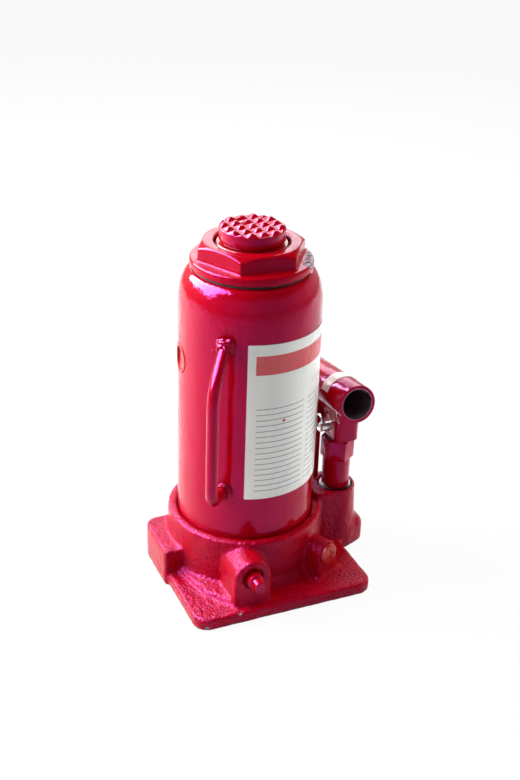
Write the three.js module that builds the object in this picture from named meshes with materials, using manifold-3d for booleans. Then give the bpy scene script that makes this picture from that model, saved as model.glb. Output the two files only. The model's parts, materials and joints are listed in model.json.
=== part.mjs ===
// A hydraulic bottle jack: base casting, oil reservoir, pressure cylinder, ram with extension
// screw, hand pump with its rocking handle socket, and the three valves.
// Millimetres, +Z up. The origin is the ram's axis on the base's underside, the pump stands at +X,
// and the operator stands at -Y.
import * as THREE from 'three';
import { mergeVertices } from 'three/addons/utils/BufferGeometryUtils.js';
import Module from 'manifold-3d';

const wasm = await Module();
wasm.setup();

// Driving dimensions

// Fits and facets
const SEAT_GAP = 0.3;            // between curved faces that seat on each other
const SLIDE_GAP = 0.35;          // round a piece that slides or turns
const ROUND = 48;                // facets round the reservoir, collar, nut and ram
const INNER_ROUND = 32;          // facets round the turned pieces inside
const SMALL_ROUND = 16;          // facets round the small turned pieces
const DRILL_ROUND = 8;           // facets round a drilled oil passage

// Base casting
const PLATE = { thick: 8, left: -57.2, right: 61.6, front: -68, back: 27, frontCorner: 11, backCorner: 9 };
const BLOCK = { left: -59.7, front: -15, top: 24.6, right: -38, corner: 10, edge: 1.5 };
const COLLAR = { wall: 5.9, top: 41.7, footOut: 3.8, footTop: 15, rim: 1.2 };
const WEB = { rise: 3.2, blockX: -50.5, midX: -43, midY: -43, footY: -60 };
const FLOOR_TOP = 22;            // reservoir floor, inside the collar
const TANK_GROOVE = 3;           // depth of the groove that the reservoir stands in
const CYLINDER_GROOVE = 8;       // depth of the groove that the pressure cylinder stands in
const WELL = { radius: 8, bottom: 6 };
const CENTRAL_LAND = 1.2;        // land between the reservoir groove and the floor
const GASKET_THICK = 1.6;

// Pressure cylinder and ram. The stroke sets the height of all that stands above.
const CYLINDER = { bore: 24, wall: 5.4 };
const RAM = { step: 2.3, head: 30, stroke: 150, below: 1.1, footStep: 1, boreDepth: 112 };
const CUP_SEAL = { height: 8, up: 4.7, inner: 16 };
const BACKUP_RING = { height: 2 };
const RETAINER = { height: 3, inner: 13 };

// Top nut
const NUT = {
  flange: 36.5, flangeThick: 5.2, overCylinder: 2.4, hexHigh: 10.1, corner: 33.3, turn: -123.5,
  ramGap: 0.8, skirtLong: 21, skirtOuter: 33, chamferFlat: 28.2, chamferDrop: 2.9,
};
const WIPER = { up: 1.8, height: 4, depth: 2.2 };

// Reservoir
const TANK = { outer: 43, wall: 3, shoulder: 20.4, neckOuter: 34.6, neckInner: 33.4 };

// Extension screw and saddle
const SCREW = { major: 16, depth: 2.1, pitch: 6, turns: 12, crest: 1.7, root: 3.5, engaged: 3 };
const THREAD_STEPS = 16;         // facets in one turn of the thread
const THREAD_GAP = 0.4;
const STOP_RING = { height: 3, depth: 2, proud: 0.7 };
const SADDLE = { radius: 19.6, gap: 0.4, height: 10.4, spigot: 8, spigotDepth: 5 };
const TEETH = { pitch: 7.4, flat: 1.6, depth: 2.1, count: 5, turn: 1.8 };

// Carry handle: its upper end below the reservoir's shoulder, its lower end above the collar
const CARRY = {
  azimuth: -131, rod: 3.75, out: 21, below: 11, topDrop: 22, topRadius: 9,
  above: 32.3, lowRise: 3.5, lowRadius: 7,
};
const WELD = { rod: 5.6, long: 3.4 };

// Filler plug
const FILLER = { azimuth: 174, below: 33.7, radius: 9.3, proud: 0.5, rim: 2, dish: 1.6, behind: 1.6 };

// Pump, standing clear of the collar
const PUMP = {
  out: 13.2, y: -5, bossFoot: 16, bossFront: -17.8, bossLean: 1.2, bossAbove: 4.3,
  rim: 2.1, counterGap: 2, counterDepth: 4,
  body: 9.1, seat: 30, hexUp: 20, hexHigh: 14.5, hexProud: 0.25, hexTurn: -87.7, washer: 1.5,
};
const FOOT = {
  front: -18.5, frontOut: 5.1, out: 20.6, sideFront: -11.5, back: 13, side: 12.7, top: 17.5, round: 6,
};
const GLAND = { height: 2.4, depth: 1.6, below: 0.4 };
const CHAMBER = { radius: 5, bottom: 15 };
const PLUNGER = { radius: 6, up: 3, eye: 7.3, tang: 7.4 };
const PLUNGER_SEAL = { up: 4, height: 2.4, depth: 1.6 };

// Linkage across X: the plunger's pivot above the pump, and the link behind it
const LINKAGE = { pivotUp: 8.5, behind: 18, lowPivot: 34 };
const SOCKET = {
  outer: 12.3, wall: 2.3, mouthOut: 22.4, mouthUp: 25.2, tilt: 7.5, length: 75, endWall: 4,
  neckWidth: 16, neckFront: 14.5, neckBack: 7, neckCorner: 5, neckDown: 5.5, neckDownBack: 6.5,
  slotWall: 2.5, slotUp: 8.6, webFront: 9, webUp: 7, filletLow: -15, filletHigh: -6.9,
};
const LUG = { width: 14, upper: 6.9, lower: 7.8, front: 7 };  // the two lugs that the link joins
const SWING = { degrees: 45, cuts: 3 };  // how far the socket's open end can be raised
const PIN = { plunger: 3, link: 3.5, head: 1.6, headRadius: 4.6, beyond: 0.6 };
const EYE_PLAY = { y: 1.35, z: 0.6 };  // the eye's extra room, because the linkage is opened there
const LINK = { thick: 2.7, gap: 0.35, upperEnd: 7.2, lowerEnd: 7.6, clear: 0.534, room: 0.5, roomBelow: 0.9 };
const CLIP = { thick: 1, outer: 5.6, depth: 0.7, mouth: 1.6 };
const PIN_RING = { radius: 5.4, wire: 0.7 };

// Release valve, in the front left boss. Depths and lengths run from the boss's face.
const RELEASE = {
  x: -19, z: 26.4, bossRadius: 12, out: 12.5, bossLong: 21.7, counterbore: 6.4, counterDepth: 3,
  thread: 4.6, seatDepth: 14.7, stem: 5.2, shoulder: 4.8, tail: 3.7, stemLong: 10.1, flat: 2.7, tip: 1.2,
};
const O_RING = { height: 2, wire: 1 };
const VALVE_BALL = 2.4;

// Safety valve, in the front right lug
const SAFETY = {
  azimuth: -61.7, offset: 8.2, z: 24, out: 12.5, lugLong: 17.7, half: 8.4, flare: 5.1, plug: 7,
  plugOut: 2, crossWide: 1.3, crossLong: 8, crossDeep: 0.5, bore: 5.2, boreDepth: 11.7, springLong: 3.2,
};

// Check valves and oil passages in the base
const PASSAGE = 1.8;             // radius of a drilled passage
const SUCTION = { z: 5.5, azimuth: 21.5, strainer: 3.8, strainerHeight: 3, strainerSkin: 0.8 };
const DISCHARGE = { inward: 12.4, high: 22, seat: 13, bore: 4, low: 8, plugInset: 0.4, plugTop: 3, ball: 3 };
const RETURN = { valveDepth: 10.2, z: 13.5, azimuth: -109.5 };
const SPRING = { wire: 0.45, turns: 4, steps: 7, sides: 4 };

// Labels
const TANK_LABEL = { from: -114, to: -14, above: 28.3, below: 10.3, thick: 0.25, gap: 0.15, step: 4 };
const SOCKET_LABEL = { front: 17.8, wide: 8.8, from: 5, to: 162, thick: 0.25, gap: 0.15, step: 15 };

// Places that follow from the driving dimensions

// Heights, from the floor up
const TANK_SEAT = FLOOR_TOP - TANK_GROOVE;
const TANK_BOTTOM = TANK_SEAT + GASKET_THICK;
const CYLINDER_SEAT = FLOOR_TOP - CYLINDER_GROOVE;
const RAM_BOTTOM = FLOOR_TOP + SEAT_GAP;
const HEAD_TOP = RAM_BOTTOM + RAM.head;
const CYLINDER_TOP = HEAD_TOP + RAM.stroke + SEAT_GAP;
const FLANGE_BOTTOM = CYLINDER_TOP + NUT.overCylinder;
const FLANGE_TOP = FLANGE_BOTTOM + NUT.flangeThick;
const NUT_TOP = FLANGE_TOP + NUT.hexHigh;
const SKIRT_BOTTOM = FLANGE_BOTTOM - NUT.skirtLong;
const TANK_TOP = FLANGE_BOTTOM - GASKET_THICK;
const SHOULDER_START = TANK_TOP - TANK.shoulder;
const WIPER_BOTTOM = FLANGE_TOP + WIPER.up;
const RAM_TOP = NUT_TOP - RAM.below;
const SADDLE_BOTTOM = RAM_TOP + SADDLE.gap;
const SADDLE_TOP = SADDLE_BOTTOM + SADDLE.height;
const CUP_BOTTOM = RAM_BOTTOM + CUP_SEAL.up;

// Radii, from the ram out
const RAM_RADIUS = CYLINDER.bore - RAM.step;
const NUT_BORE = RAM_RADIUS + NUT.ramGap;
const CYLINDER_OUTER = CYLINDER.bore + CYLINDER.wall;
const SCREW_CORE = SCREW.major - SCREW.depth;
const COLLAR_OUTER = TANK.outer + SEAT_GAP + COLLAR.wall;
const COLLAR_FOOT = COLLAR_OUTER + COLLAR.footOut;

// Pump and linkage
const PUMP_X = COLLAR_OUTER + PUMP.out;
const BOSS_TOP = COLLAR.top + PUMP.bossAbove;
const COUNTERBORE = PUMP.body + PUMP.counterGap;
const BOSS_RADIUS = COUNTERBORE + PUMP.rim;
const PUMP_BORE = PLUNGER.radius + SEAT_GAP;
const HEX_BOTTOM = BOSS_TOP + PUMP.hexUp;
const HEX_TOP = HEX_BOTTOM + PUMP.hexHigh;
const HEX_FLAT = PUMP.body + PUMP.hexProud;
const PLUNGER_BOTTOM = PUMP.seat + PLUNGER.up;
const PLUNGER_SEAL_BOTTOM = PLUNGER_BOTTOM + PLUNGER_SEAL.up;
const TILT = THREE.MathUtils.degToRad(SOCKET.tilt);
const SOCKET_BORE = SOCKET.outer - SOCKET.wall;
const MOUTH_Y = PUMP.y - SOCKET.mouthOut;
const LUG_HALF = LUG.width / 2;
// Pivots: P is the plunger's, L the link's upper one and B the link's lower one
const PIVOT_P = { y: PUMP.y, z: HEX_TOP + LINKAGE.pivotUp };
const MOUTH_Z = PIVOT_P.z + SOCKET.mouthUp;
const axisZ = (y) => MOUTH_Z - (y - MOUTH_Y) * Math.tan(TILT);
const LINK_Y = PUMP.y + LINKAGE.behind;
const TUBE_UNDER = Math.sqrt(SOCKET.outer ** 2 - (LUG_HALF + LINK.gap) ** 2);
const PIVOT_L = { y: LINK_Y, z: axisZ(LINK_Y) - TUBE_UNDER / Math.cos(TILT) - LINK.upperEnd - LINK.clear };
const PIVOT_B = { y: LINK_Y, z: LINKAGE.lowPivot };
const NECK_FRONT = PUMP.y - SOCKET.neckFront;
const NECK_BACK = PUMP.y + SOCKET.neckBack;
const NECK_LOW = PIVOT_P.z - SOCKET.neckDown;
const NECK_LOW_BACK = PIVOT_P.z - SOCKET.neckDownBack;

// Valves
const RELEASE_FACE = -(COLLAR_OUTER + RELEASE.out);
const RELEASE_SEAT = RELEASE_FACE + RELEASE.seatDepth;
const RELEASE_SHOULDER = RELEASE_FACE - RELEASE.shoulder;
const STEM_END = RELEASE_FACE - RELEASE.stemLong;
const SAFETY_REACH = COLLAR_OUTER + SAFETY.out;
const SAFETY_BOTTOM = SAFETY_REACH - SAFETY.boreDepth;
const DISCHARGE_X = PUMP_X - DISCHARGE.inward;
const OIL_RADIUS = (CYLINDER_OUTER + TANK.outer - TANK.wall) / 2;  // middle of the oil space

// Carry handle, filler plug and label
const CARRY_REACH = TANK.outer + CARRY.out;
const TOP_WELD = SHOULDER_START - CARRY.below;
const TOP_BEND = TOP_WELD - CARRY.topDrop;
const LOW_WELD = COLLAR.top + CARRY.above;
const LOW_BEND = LOW_WELD + CARRY.lowRise;
const FILLER_Z = SHOULDER_START - FILLER.below;

// Materials
const paint = (color, roughness = 0.28) =>
  new THREE.MeshStandardMaterial({ color, roughness, metalness: 0 });
const metal = (color, roughness = 0.35) =>
  new THREE.MeshStandardMaterial({ color, roughness, metalness: 1 });
const RED = 0xc4101f;
const CAST_RED = 0xb30f1c;
const STEEL = 0xb9bcc0;
const DARK_STEEL = 0x55585c;
const COPPER = 0xb87333;
const RUBBER = 0x1b1b1c;
const PAPER = 0xe9ebe4;

// Shared helpers

// A closed geometry as a solid: shared vertices merged, slivers dropped, faces turned outward
function solid(geometry) {
  geometry.deleteAttribute('normal');
  geometry.deleteAttribute('uv');
  const merged = mergeVertices(geometry, 1e-4);
  const at = merged.attributes.position.array;
  const kept = [];
  for (let i = 0; i < merged.index.count; i += 3) {
    const [a, b, c] = [0, 1, 2].map((k) => merged.index.getX(i + k));
    if (a !== b && b !== c && c !== a) kept.push(a, b, c);
  }
  const corner = (i) => new THREE.Vector3(at[3 * i], at[3 * i + 1], at[3 * i + 2]);
  let volume = 0;
  for (let i = 0; i < kept.length; i += 3) {
    volume += corner(kept[i]).dot(corner(kept[i + 1]).cross(corner(kept[i + 2])));
  }
  if (volume < 0) kept.reverse();
  return new wasm.Manifold(new wasm.Mesh({
    numProp: 3,
    vertProperties: new Float32Array(at),
    triVerts: new Uint32Array(kept),
  }));
}

// Several solids as one
const join = (first, ...others) => others.reduce((sum, next) => sum.add(next), first);

// One solid less several others
const cut = (first, ...others) => others.reduce((rest, next) => rest.subtract(next), first);

// A turned piece: [radius, z] points, starting and ending on the axis or closing on themselves
function turned(points, segments = ROUND) {
  const profile = points.map(([r, z]) => new THREE.Vector2(r, z));
  if (points[0][0] > 0) profile.push(profile[0].clone());
  return solid(new THREE.LatheGeometry(profile, segments).rotateX(Math.PI / 2));
}

// A ring or tube about Z
const ring = (inner, outer, bottom, top, segments = ROUND) =>
  turned([[inner, bottom], [outer, bottom], [outer, top], [inner, top]], segments);

// A disc or rod about Z
const disc = (radius, bottom, top, segments = ROUND) =>
  turned([[0, bottom], [radius, bottom], [radius, top], [0, top]], segments);

// A round bar or cone between two points
function bar(from, to, radius, segments = SMALL_ROUND, endRadius = radius) {
  const a = new THREE.Vector3(...from);
  const b = new THREE.Vector3(...to);
  const along = b.clone().sub(a);
  const geometry = new THREE.CylinderGeometry(endRadius, radius, along.length(), segments);
  geometry.applyQuaternion(new THREE.Quaternion().setFromUnitVectors(
    new THREE.Vector3(0, 1, 0), along.clone().normalize()));
  geometry.translate(...a.add(b).multiplyScalar(0.5).toArray());
  return solid(geometry);
}

// A round bar along X on a pivot
const axle = (pivot, x0, x1, radius, segments = SMALL_ROUND) =>
  bar([x0, pivot.y, pivot.z], [x1, pivot.y, pivot.z], radius, segments);

// A block between two corners
function block([x0, y0, z0], [x1, y1, z1]) {
  const geometry = new THREE.BoxGeometry(x1 - x0, y1 - y0, z1 - z0);
  return solid(geometry.translate((x0 + x1) / 2, (y0 + y1) / 2, (z0 + z1) / 2));
}

// A flat outline raised from one height to another
function prism(shape, bottom, top, curveSegments = 6) {
  const depth = top - bottom;
  const geometry = new THREE.ExtrudeGeometry(shape, { depth, bevelEnabled: false, curveSegments });
  return solid(geometry.translate(0, 0, bottom));
}

// A solid through a stack of outlines with equal numbers of points, given as [shape, height]
function lofted(levels, curveSegments = 6) {
  const loops = levels.map(([shape]) => shape.getPoints(curveSegments).slice(0, -1));
  const count = loops[0].length;
  const places = levels.flatMap(([, z], i) => loops[i].flatMap(({ x, y }) => [x, y, z]));
  const index = [];
  for (let i = 0; i < levels.length - 1; i += 1) {
    for (let j = 0; j < count; j += 1) {
      const a = i * count + j;
      const b = i * count + ((j + 1) % count);
      index.push(a, b, a + count, b, b + count, a + count);
    }
  }
  const last = (levels.length - 1) * count;
  for (const [a, b, c] of THREE.ShapeUtils.triangulateShape(loops[0], [])) index.push(a, c, b);
  for (const [a, b, c] of THREE.ShapeUtils.triangulateShape(loops.at(-1), [])) {
    index.push(last + a, last + b, last + c);
  }
  const geometry = new THREE.BufferGeometry();
  geometry.setAttribute('position', new THREE.Float32BufferAttribute(places, 3));
  geometry.setIndex(index);
  return solid(geometry);
}

// An outline drawn in the YZ plane (u = y, v = z) and given its thickness along X
function plateAcrossX(shape, x0, x1, curveSegments = 8) {
  const depth = x1 - x0;
  const geometry = new THREE.ExtrudeGeometry(shape, { depth, bevelEnabled: false, curveSegments });
  geometry.applyMatrix4(new THREE.Matrix4().makeBasis(
    new THREE.Vector3(0, 1, 0), new THREE.Vector3(0, 0, 1), new THREE.Vector3(1, 0, 0)));
  return solid(geometry.translate(x0, 0, 0));
}

// A rectangle with rounded corners, given as [x, y, radius] in turn
function rounded(corners) {
  const shape = new THREE.Shape();
  const count = corners.length;
  corners.forEach(([x, y, r], i) => {
    const [px, py] = corners[(i + count - 1) % count];
    const [nx, ny] = corners[(i + 1) % count];
    const before = new THREE.Vector2(px - x, py - y).setLength(r).add(new THREE.Vector2(x, y));
    const after = new THREE.Vector2(nx - x, ny - y).setLength(r).add(new THREE.Vector2(x, y));
    if (i === 0) shape.moveTo(before.x, before.y);
    else shape.lineTo(before.x, before.y);
    if (r > 0) shape.quadraticCurveTo(x, y, after.x, after.y);
  });
  shape.closePath();
  return shape;
}

// A regular polygon by its corner radius
function polygon(count, radius, turnDeg, x = 0, y = 0) {
  const points = Array.from({ length: count }, (_, i) => {
    const angle = THREE.MathUtils.degToRad(turnDeg + (360 * i) / count);
    return new THREE.Vector2(x + radius * Math.cos(angle), y + radius * Math.sin(angle));
  });
  return new THREE.Shape([...points, points[0]]);
}

// A solid moved without turning
function moved(part, x, y, z) {
  return part.translate([x, y, z]);
}

// A solid made on the Z axis, moved to the pump's axis
const pumpAt = (part) => moved(part, PUMP_X, PUMP.y, 0);

// A point at an azimuth and distance from the ram's axis
function around(azimuthDeg, radius, z) {
  const angle = THREE.MathUtils.degToRad(azimuthDeg);
  return [radius * Math.cos(angle), radius * Math.sin(angle), z];
}

// A point in the safety valve's own frame: its distance out, and its place to the right
function safetyAt(radius, side = 0, z = SAFETY.z) {
  const [x, y] = around(SAFETY.azimuth, radius, z);
  const [tx, ty] = around(SAFETY.azimuth + 90, SAFETY.offset + side, z);
  return [x + tx, y + ty, z];
}

// A threaded rod about Z: a core from bottom to top, with a helical ridge whose middle starts at
// ridgeFrom. The ridge's flanks, crest and root share their edges, so no boolean is needed.
function threadedRod({ core, major, crest, root, bottom, top, ridgeFrom, turns }) {
  const steps = turns * THREAD_STEPS;
  const places = [];
  const index = [];
  const addPoint = (radius, angleStep, z) => {
    const angle = (2 * Math.PI * angleStep) / THREAD_STEPS;
    places.push(radius * Math.cos(angle), radius * Math.sin(angle), z);
    return places.length / 3 - 1;
  };
  const face = (...loop) => {
    for (let k = 1; k < loop.length - 1; k += 1) index.push(loop[0], loop[k], loop[k + 1]);
  };
  const [a, b, c, d] = [[], [], [], []];
  for (let i = 0; i <= steps; i += 1) {
    const z = ridgeFrom + (SCREW.pitch * i) / THREAD_STEPS;
    a.push(addPoint(core, i, z - root / 2));
    b.push(addPoint(major, i, z - crest / 2));
    c.push(addPoint(major, i, z + crest / 2));
    d.push(addPoint(core, i, z + root / 2));
  }
  const low = Array.from({ length: THREAD_STEPS }, (_, i) => addPoint(core, i, bottom));
  const high = Array.from({ length: THREAD_STEPS }, (_, i) => addPoint(core, i, top));
  for (let i = 0; i < steps; i += 1) {
    face(a[i], a[i + 1], b[i + 1], b[i]);
    face(b[i], b[i + 1], c[i + 1], c[i]);
    face(c[i], c[i + 1], d[i + 1], d[i]);
    if (i + THREAD_STEPS < steps) face(d[i], d[i + 1], a[i + 1 + THREAD_STEPS], a[i + THREAD_STEPS]);
  }
  face(a[0], b[0], c[0], d[0]);
  face(a[steps], d[steps], c[steps], b[steps]);
  const lastLow = THREAD_STEPS - 1;
  for (let i = 0; i < lastLow; i += 1) face(low[i], low[i + 1], a[i + 1], a[i]);
  face(a[lastLow], low[lastLow], low[0], a[0], d[0], a[THREAD_STEPS]);
  const firstHigh = steps - THREAD_STEPS;
  face(d[firstHigh + 1], high[1], high[0], d[steps], a[steps], d[firstHigh]);
  for (let i = 1; i < THREAD_STEPS; i += 1) {
    face(d[firstHigh + i], d[firstHigh + i + 1], high[(i + 1) % THREAD_STEPS], high[i]);
  }
  face(...low.slice().reverse());
  face(...high);
  const geometry = new THREE.BufferGeometry();
  geometry.setAttribute('position', new THREE.Float32BufferAttribute(places, 3));
  geometry.setIndex(index);
  return solid(geometry);
}

// A wound spring between two points
class Coil extends THREE.Curve {
  constructor(from, to, radius, turns) {
    super();
    this.from = new THREE.Vector3(...from);
    this.axis = new THREE.Vector3(...to).sub(this.from);
    const along = this.axis.clone().normalize();
    const side = Math.abs(along.z) > 0.9 ? new THREE.Vector3(1, 0, 0) : new THREE.Vector3(0, 0, 1);
    this.u = new THREE.Vector3().crossVectors(along, side).normalize();
    this.v = new THREE.Vector3().crossVectors(along, this.u);
    this.radius = radius;
    this.turns = turns;
  }

  getPoint(t, target = new THREE.Vector3()) {
    const angle = 2 * Math.PI * this.turns * t;
    return target.copy(this.from).addScaledVector(this.axis, t)
      .addScaledVector(this.u, this.radius * Math.cos(angle))
      .addScaledVector(this.v, this.radius * Math.sin(angle));
  }
}

function spring(from, to, outer) {
  const path = new Coil(from, to, outer - SPRING.wire, SPRING.turns);
  const section = polygon(SPRING.sides, SPRING.wire, 0);
  return solid(new THREE.ExtrudeGeometry(section, {
    extrudePath: path, steps: SPRING.turns * SPRING.steps, bevelEnabled: false, curveSegments: 1,
  }));
}

const ball = (x, y, z, radius) => solid(new THREE.SphereGeometry(radius, 10, 7).translate(x, y, z));

const jack = new THREE.Group();
jack.name = 'bottle_jack';

// One named piece of the jack
function piece(name, part, material) {
  const { vertProperties, triVerts } = part.getMesh();
  const geometry = new THREE.BufferGeometry();
  geometry.setAttribute('position', new THREE.BufferAttribute(new Float32Array(vertProperties), 3));
  geometry.setIndex(new THREE.BufferAttribute(new Uint32Array(triVerts), 1));
  geometry.computeVertexNormals();
  const mesh = new THREE.Mesh(geometry, material);
  mesh.name = name;
  jack.add(mesh);
}

// Base casting
function baseCasting() {
  const plate = prism(rounded([
    [PLATE.left, PLATE.front, PLATE.frontCorner], [PLATE.right, PLATE.front, PLATE.frontCorner],
    [PLATE.right, PLATE.back, PLATE.backCorner], [PLATE.left, PLATE.back, PLATE.backCorner],
  ]), 0, PLATE.thick);

  const leftBlock = prism(rounded([
    [BLOCK.left, BLOCK.front, BLOCK.edge], [BLOCK.right, BLOCK.front, 0],
    [BLOCK.right, PLATE.back, 0], [BLOCK.left, PLATE.back, BLOCK.corner],
  ]), 0, BLOCK.top);

  const collar = turned([
    [0, 0], [COLLAR_OUTER, 0], [COLLAR_FOOT, PLATE.thick * 0.5],
    [COLLAR_FOOT, PLATE.thick], [COLLAR_OUTER + 1, PLATE.thick + 3], [COLLAR_OUTER, COLLAR.footTop],
    [COLLAR_OUTER, COLLAR.top - COLLAR.rim], [COLLAR_OUTER - COLLAR.rim, COLLAR.top], [0, COLLAR.top],
  ]);

  const web = prism(new THREE.Shape([
    new THREE.Vector2(WEB.blockX, BLOCK.front + 1), new THREE.Vector2(WEB.midX, WEB.midY),
    new THREE.Vector2(RELEASE.x - RELEASE.bossRadius, WEB.footY),
    new THREE.Vector2(RELEASE.x, WEB.footY), new THREE.Vector2(RELEASE.x, BLOCK.front + 1),
  ]), PLATE.thick / 2, PLATE.thick + WEB.rise);

  const releaseAt = (y, z = RELEASE.z) => [RELEASE.x, y, z];
  const releaseBoss = join(
    bar(releaseAt(RELEASE_FACE), releaseAt(RELEASE_FACE + RELEASE.bossLong), RELEASE.bossRadius, 36),
    block([RELEASE.x - RELEASE.bossRadius, RELEASE_FACE, PLATE.thick / 2],
      [RELEASE.x + RELEASE.bossRadius, RELEASE_FACE + RELEASE.bossLong, RELEASE.z]),
  );

  const lugOutline = new THREE.Shape();
  lugOutline.moveTo(-SAFETY.half, PLATE.thick / 2);
  lugOutline.lineTo(SAFETY.half + SAFETY.flare, PLATE.thick / 2);
  lugOutline.lineTo(SAFETY.half, SAFETY.z);
  lugOutline.absarc(0, SAFETY.z, SAFETY.half, 0, Math.PI);
  lugOutline.closePath();
  const lug = new THREE.ExtrudeGeometry(lugOutline, {
    depth: SAFETY.lugLong, bevelEnabled: false, curveSegments: 16,
  });
  const outward = new THREE.Vector3(...around(SAFETY.azimuth, 1, 0));
  const upward = new THREE.Vector3(0, 0, 1);
  lug.applyMatrix4(new THREE.Matrix4().makeBasis(
    new THREE.Vector3().crossVectors(upward, outward), upward, outward));
  const safetyLug = solid(lug.translate(...safetyAt(SAFETY_REACH - SAFETY.lugLong, 0, 0)));

  const bossOutline = (radius, front) => polygon(40, radius, 0, PUMP_X, front + radius);
  const pumpBoss = join(
    lofted([[bossOutline(PUMP.bossFoot, PUMP.bossFront - PUMP.bossLean), 0],
      [bossOutline(BOSS_RADIUS, PUMP.bossFront), BOSS_TOP]]),
    block([COLLAR_OUTER - 6, PUMP.bossFront, 0], [PUMP_X, PUMP.y + BOSS_RADIUS, BOSS_TOP]),
  );

  const footOutline = (inset) => rounded([
    [COLLAR_OUTER - 8, FOOT.front + inset, 0], [PUMP_X + FOOT.frontOut - 0.6 * inset, FOOT.front + inset, 4],
    [PUMP_X + FOOT.out - inset, FOOT.sideFront + 0.2 * inset, 5],
    [PUMP_X + FOOT.out - inset, FOOT.back - inset, 8 - inset / 2],
    [COLLAR_OUTER - 8, FOOT.back - inset, 0],
  ]);
  const footLevels = [[footOutline(0), 0]];
  for (const step of [0, 1, 2, 3]) {
    const angle = (step * Math.PI) / 6;
    footLevels.push([footOutline(FOOT.round * (1 - Math.cos(angle))),
      FOOT.side + (FOOT.top - FOOT.side) * Math.sin(angle)]);
  }
  const foot = lofted(footLevels, 5);

  const [lugLeft, lugRight] = [PUMP_X - LUG_HALF, PUMP_X + LUG_HALF];
  const linkLug = join(
    block([lugLeft, PIVOT_B.y - LUG.front, 0], [lugRight, PIVOT_B.y + LUG.lower, PIVOT_B.z]),
    axle(PIVOT_B, lugLeft, lugRight, LUG.lower, 24),
  );
  const roomFront = PIVOT_B.y - LINK.lowerEnd - LINK.room;
  const roomLow = PIVOT_B.z - LINK.lowerEnd - LINK.roomBelow;
  const linkRoom = join(
    block([COLLAR_OUTER + 0.1, roomFront, roomLow], [lugLeft, COLLAR_OUTER, BOSS_TOP + 1]),
    block([lugRight, roomFront, roomLow], [PUMP_X + 2 * PUMP.bossFoot, COLLAR_OUTER, BOSS_TOP + 1]),
  );

  const body = join(plate, leftBlock, collar, web, releaseBoss, safetyLug, pumpBoss, foot, linkLug);

  const tankGroove = ring(TANK.outer - TANK.wall - SEAT_GAP, TANK.outer + SEAT_GAP, TANK_SEAT,
    COLLAR.top + 1);
  const oilSpace = disc(TANK.outer - CENTRAL_LAND, FLOOR_TOP, BOSS_TOP + 1);
  const overhead = disc(TANK.outer + SEAT_GAP, COLLAR.top, BOSS_TOP + 1);
  const cylinderGroove = ring(CYLINDER.bore - SEAT_GAP, CYLINDER_OUTER + SEAT_GAP, CYLINDER_SEAT,
    FLOOR_TOP + 1, INNER_ROUND);
  const well = disc(WELL.radius, WELL.bottom, FLOOR_TOP + 1, SMALL_ROUND);

  const pumpBore = pumpAt(join(
    disc(COUNTERBORE, BOSS_TOP - PUMP.counterDepth, BOSS_TOP + 1, 36),
    disc(PUMP.body + SEAT_GAP, PUMP.seat, BOSS_TOP + 1, 36),
    disc(CHAMBER.radius, CHAMBER.bottom, PUMP.seat + 1, SMALL_ROUND),
  ));

  const releaseBore = join(
    bar(releaseAt(RELEASE_FACE - 1), releaseAt(RELEASE_FACE + RELEASE.counterDepth), RELEASE.counterbore),
    bar(releaseAt(RELEASE_FACE - 1), releaseAt(RELEASE_SEAT), RELEASE.thread + SLIDE_GAP),
  );

  const safetyBore = bar(safetyAt(SAFETY_BOTTOM), safetyAt(SAFETY_REACH + 1), SAFETY.bore + SEAT_GAP);

  const drill = (from, to) => bar(from, to, PASSAGE, DRILL_ROUND);
  const releaseFeedY = RELEASE_SEAT + VALVE_BALL / 2;
  const safetyFeed = SAFETY_BOTTOM - PASSAGE / 2;
  const suctionAt = (z) => around(SUCTION.azimuth, OIL_RADIUS, z);
  const returnAt = (z) => around(RETURN.azimuth, OIL_RADIUS, z);
  const returnY = RELEASE_FACE + RETURN.valveDepth;
  const passages = [
    drill([PUMP_X, PUMP.y, SUCTION.z], [PUMP_X, PUMP.y, CHAMBER.bottom + 1]),
    drill([PUMP_X, PUMP.y, SUCTION.z], suctionAt(SUCTION.z)),
    drill(suctionAt(SUCTION.z - PASSAGE), suctionAt(FLOOR_TOP + 1)),
    drill([PUMP_X, PUMP.y, DISCHARGE.high], [DISCHARGE_X, PUMP.y, DISCHARGE.high]),
    drill([DISCHARGE_X, PUMP.y, DISCHARGE.seat - 1], [DISCHARGE_X, PUMP.y, DISCHARGE.high + PASSAGE]),
    moved(disc(DISCHARGE.bore, -1, DISCHARGE.seat, 18), DISCHARGE_X, PUMP.y, 0),
    drill([DISCHARGE_X, PUMP.y, DISCHARGE.low], [0, PUMP.y, DISCHARGE.low]),
    drill(releaseAt(releaseFeedY, DISCHARGE.low - PASSAGE), releaseAt(releaseFeedY)),
    drill(releaseAt(RELEASE_SEAT - 1), releaseAt(releaseFeedY)),
    drill(releaseAt(releaseFeedY, DISCHARGE.low), [0, 0, DISCHARGE.low]),
    drill(releaseAt(returnY, RETURN.z - PASSAGE), releaseAt(returnY)),
    drill(releaseAt(returnY, RETURN.z), returnAt(RETURN.z)),
    drill(returnAt(RETURN.z - PASSAGE), returnAt(FLOOR_TOP + 1)),
    drill(safetyAt(safetyFeed, 0, DISCHARGE.low - PASSAGE), safetyAt(safetyFeed)),
    drill(safetyAt(safetyFeed, 0, DISCHARGE.low), [0, 0, DISCHARGE.low]),
    drill(safetyAt(safetyFeed), safetyAt(SAFETY_BOTTOM + 1)),
  ];

  const linkPinHole = axle(PIVOT_B, PUMP_X - LUG.width, PUMP_X + LUG.width, PIN.link + SEAT_GAP);

  return cut(body, tankGroove, oilSpace, overhead, cylinderGroove, well, pumpBore, releaseBore, safetyBore,
    linkRoom, linkPinHole, ...passages);
}
piece('base_casting', baseCasting(), paint(CAST_RED, 0.35));

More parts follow.
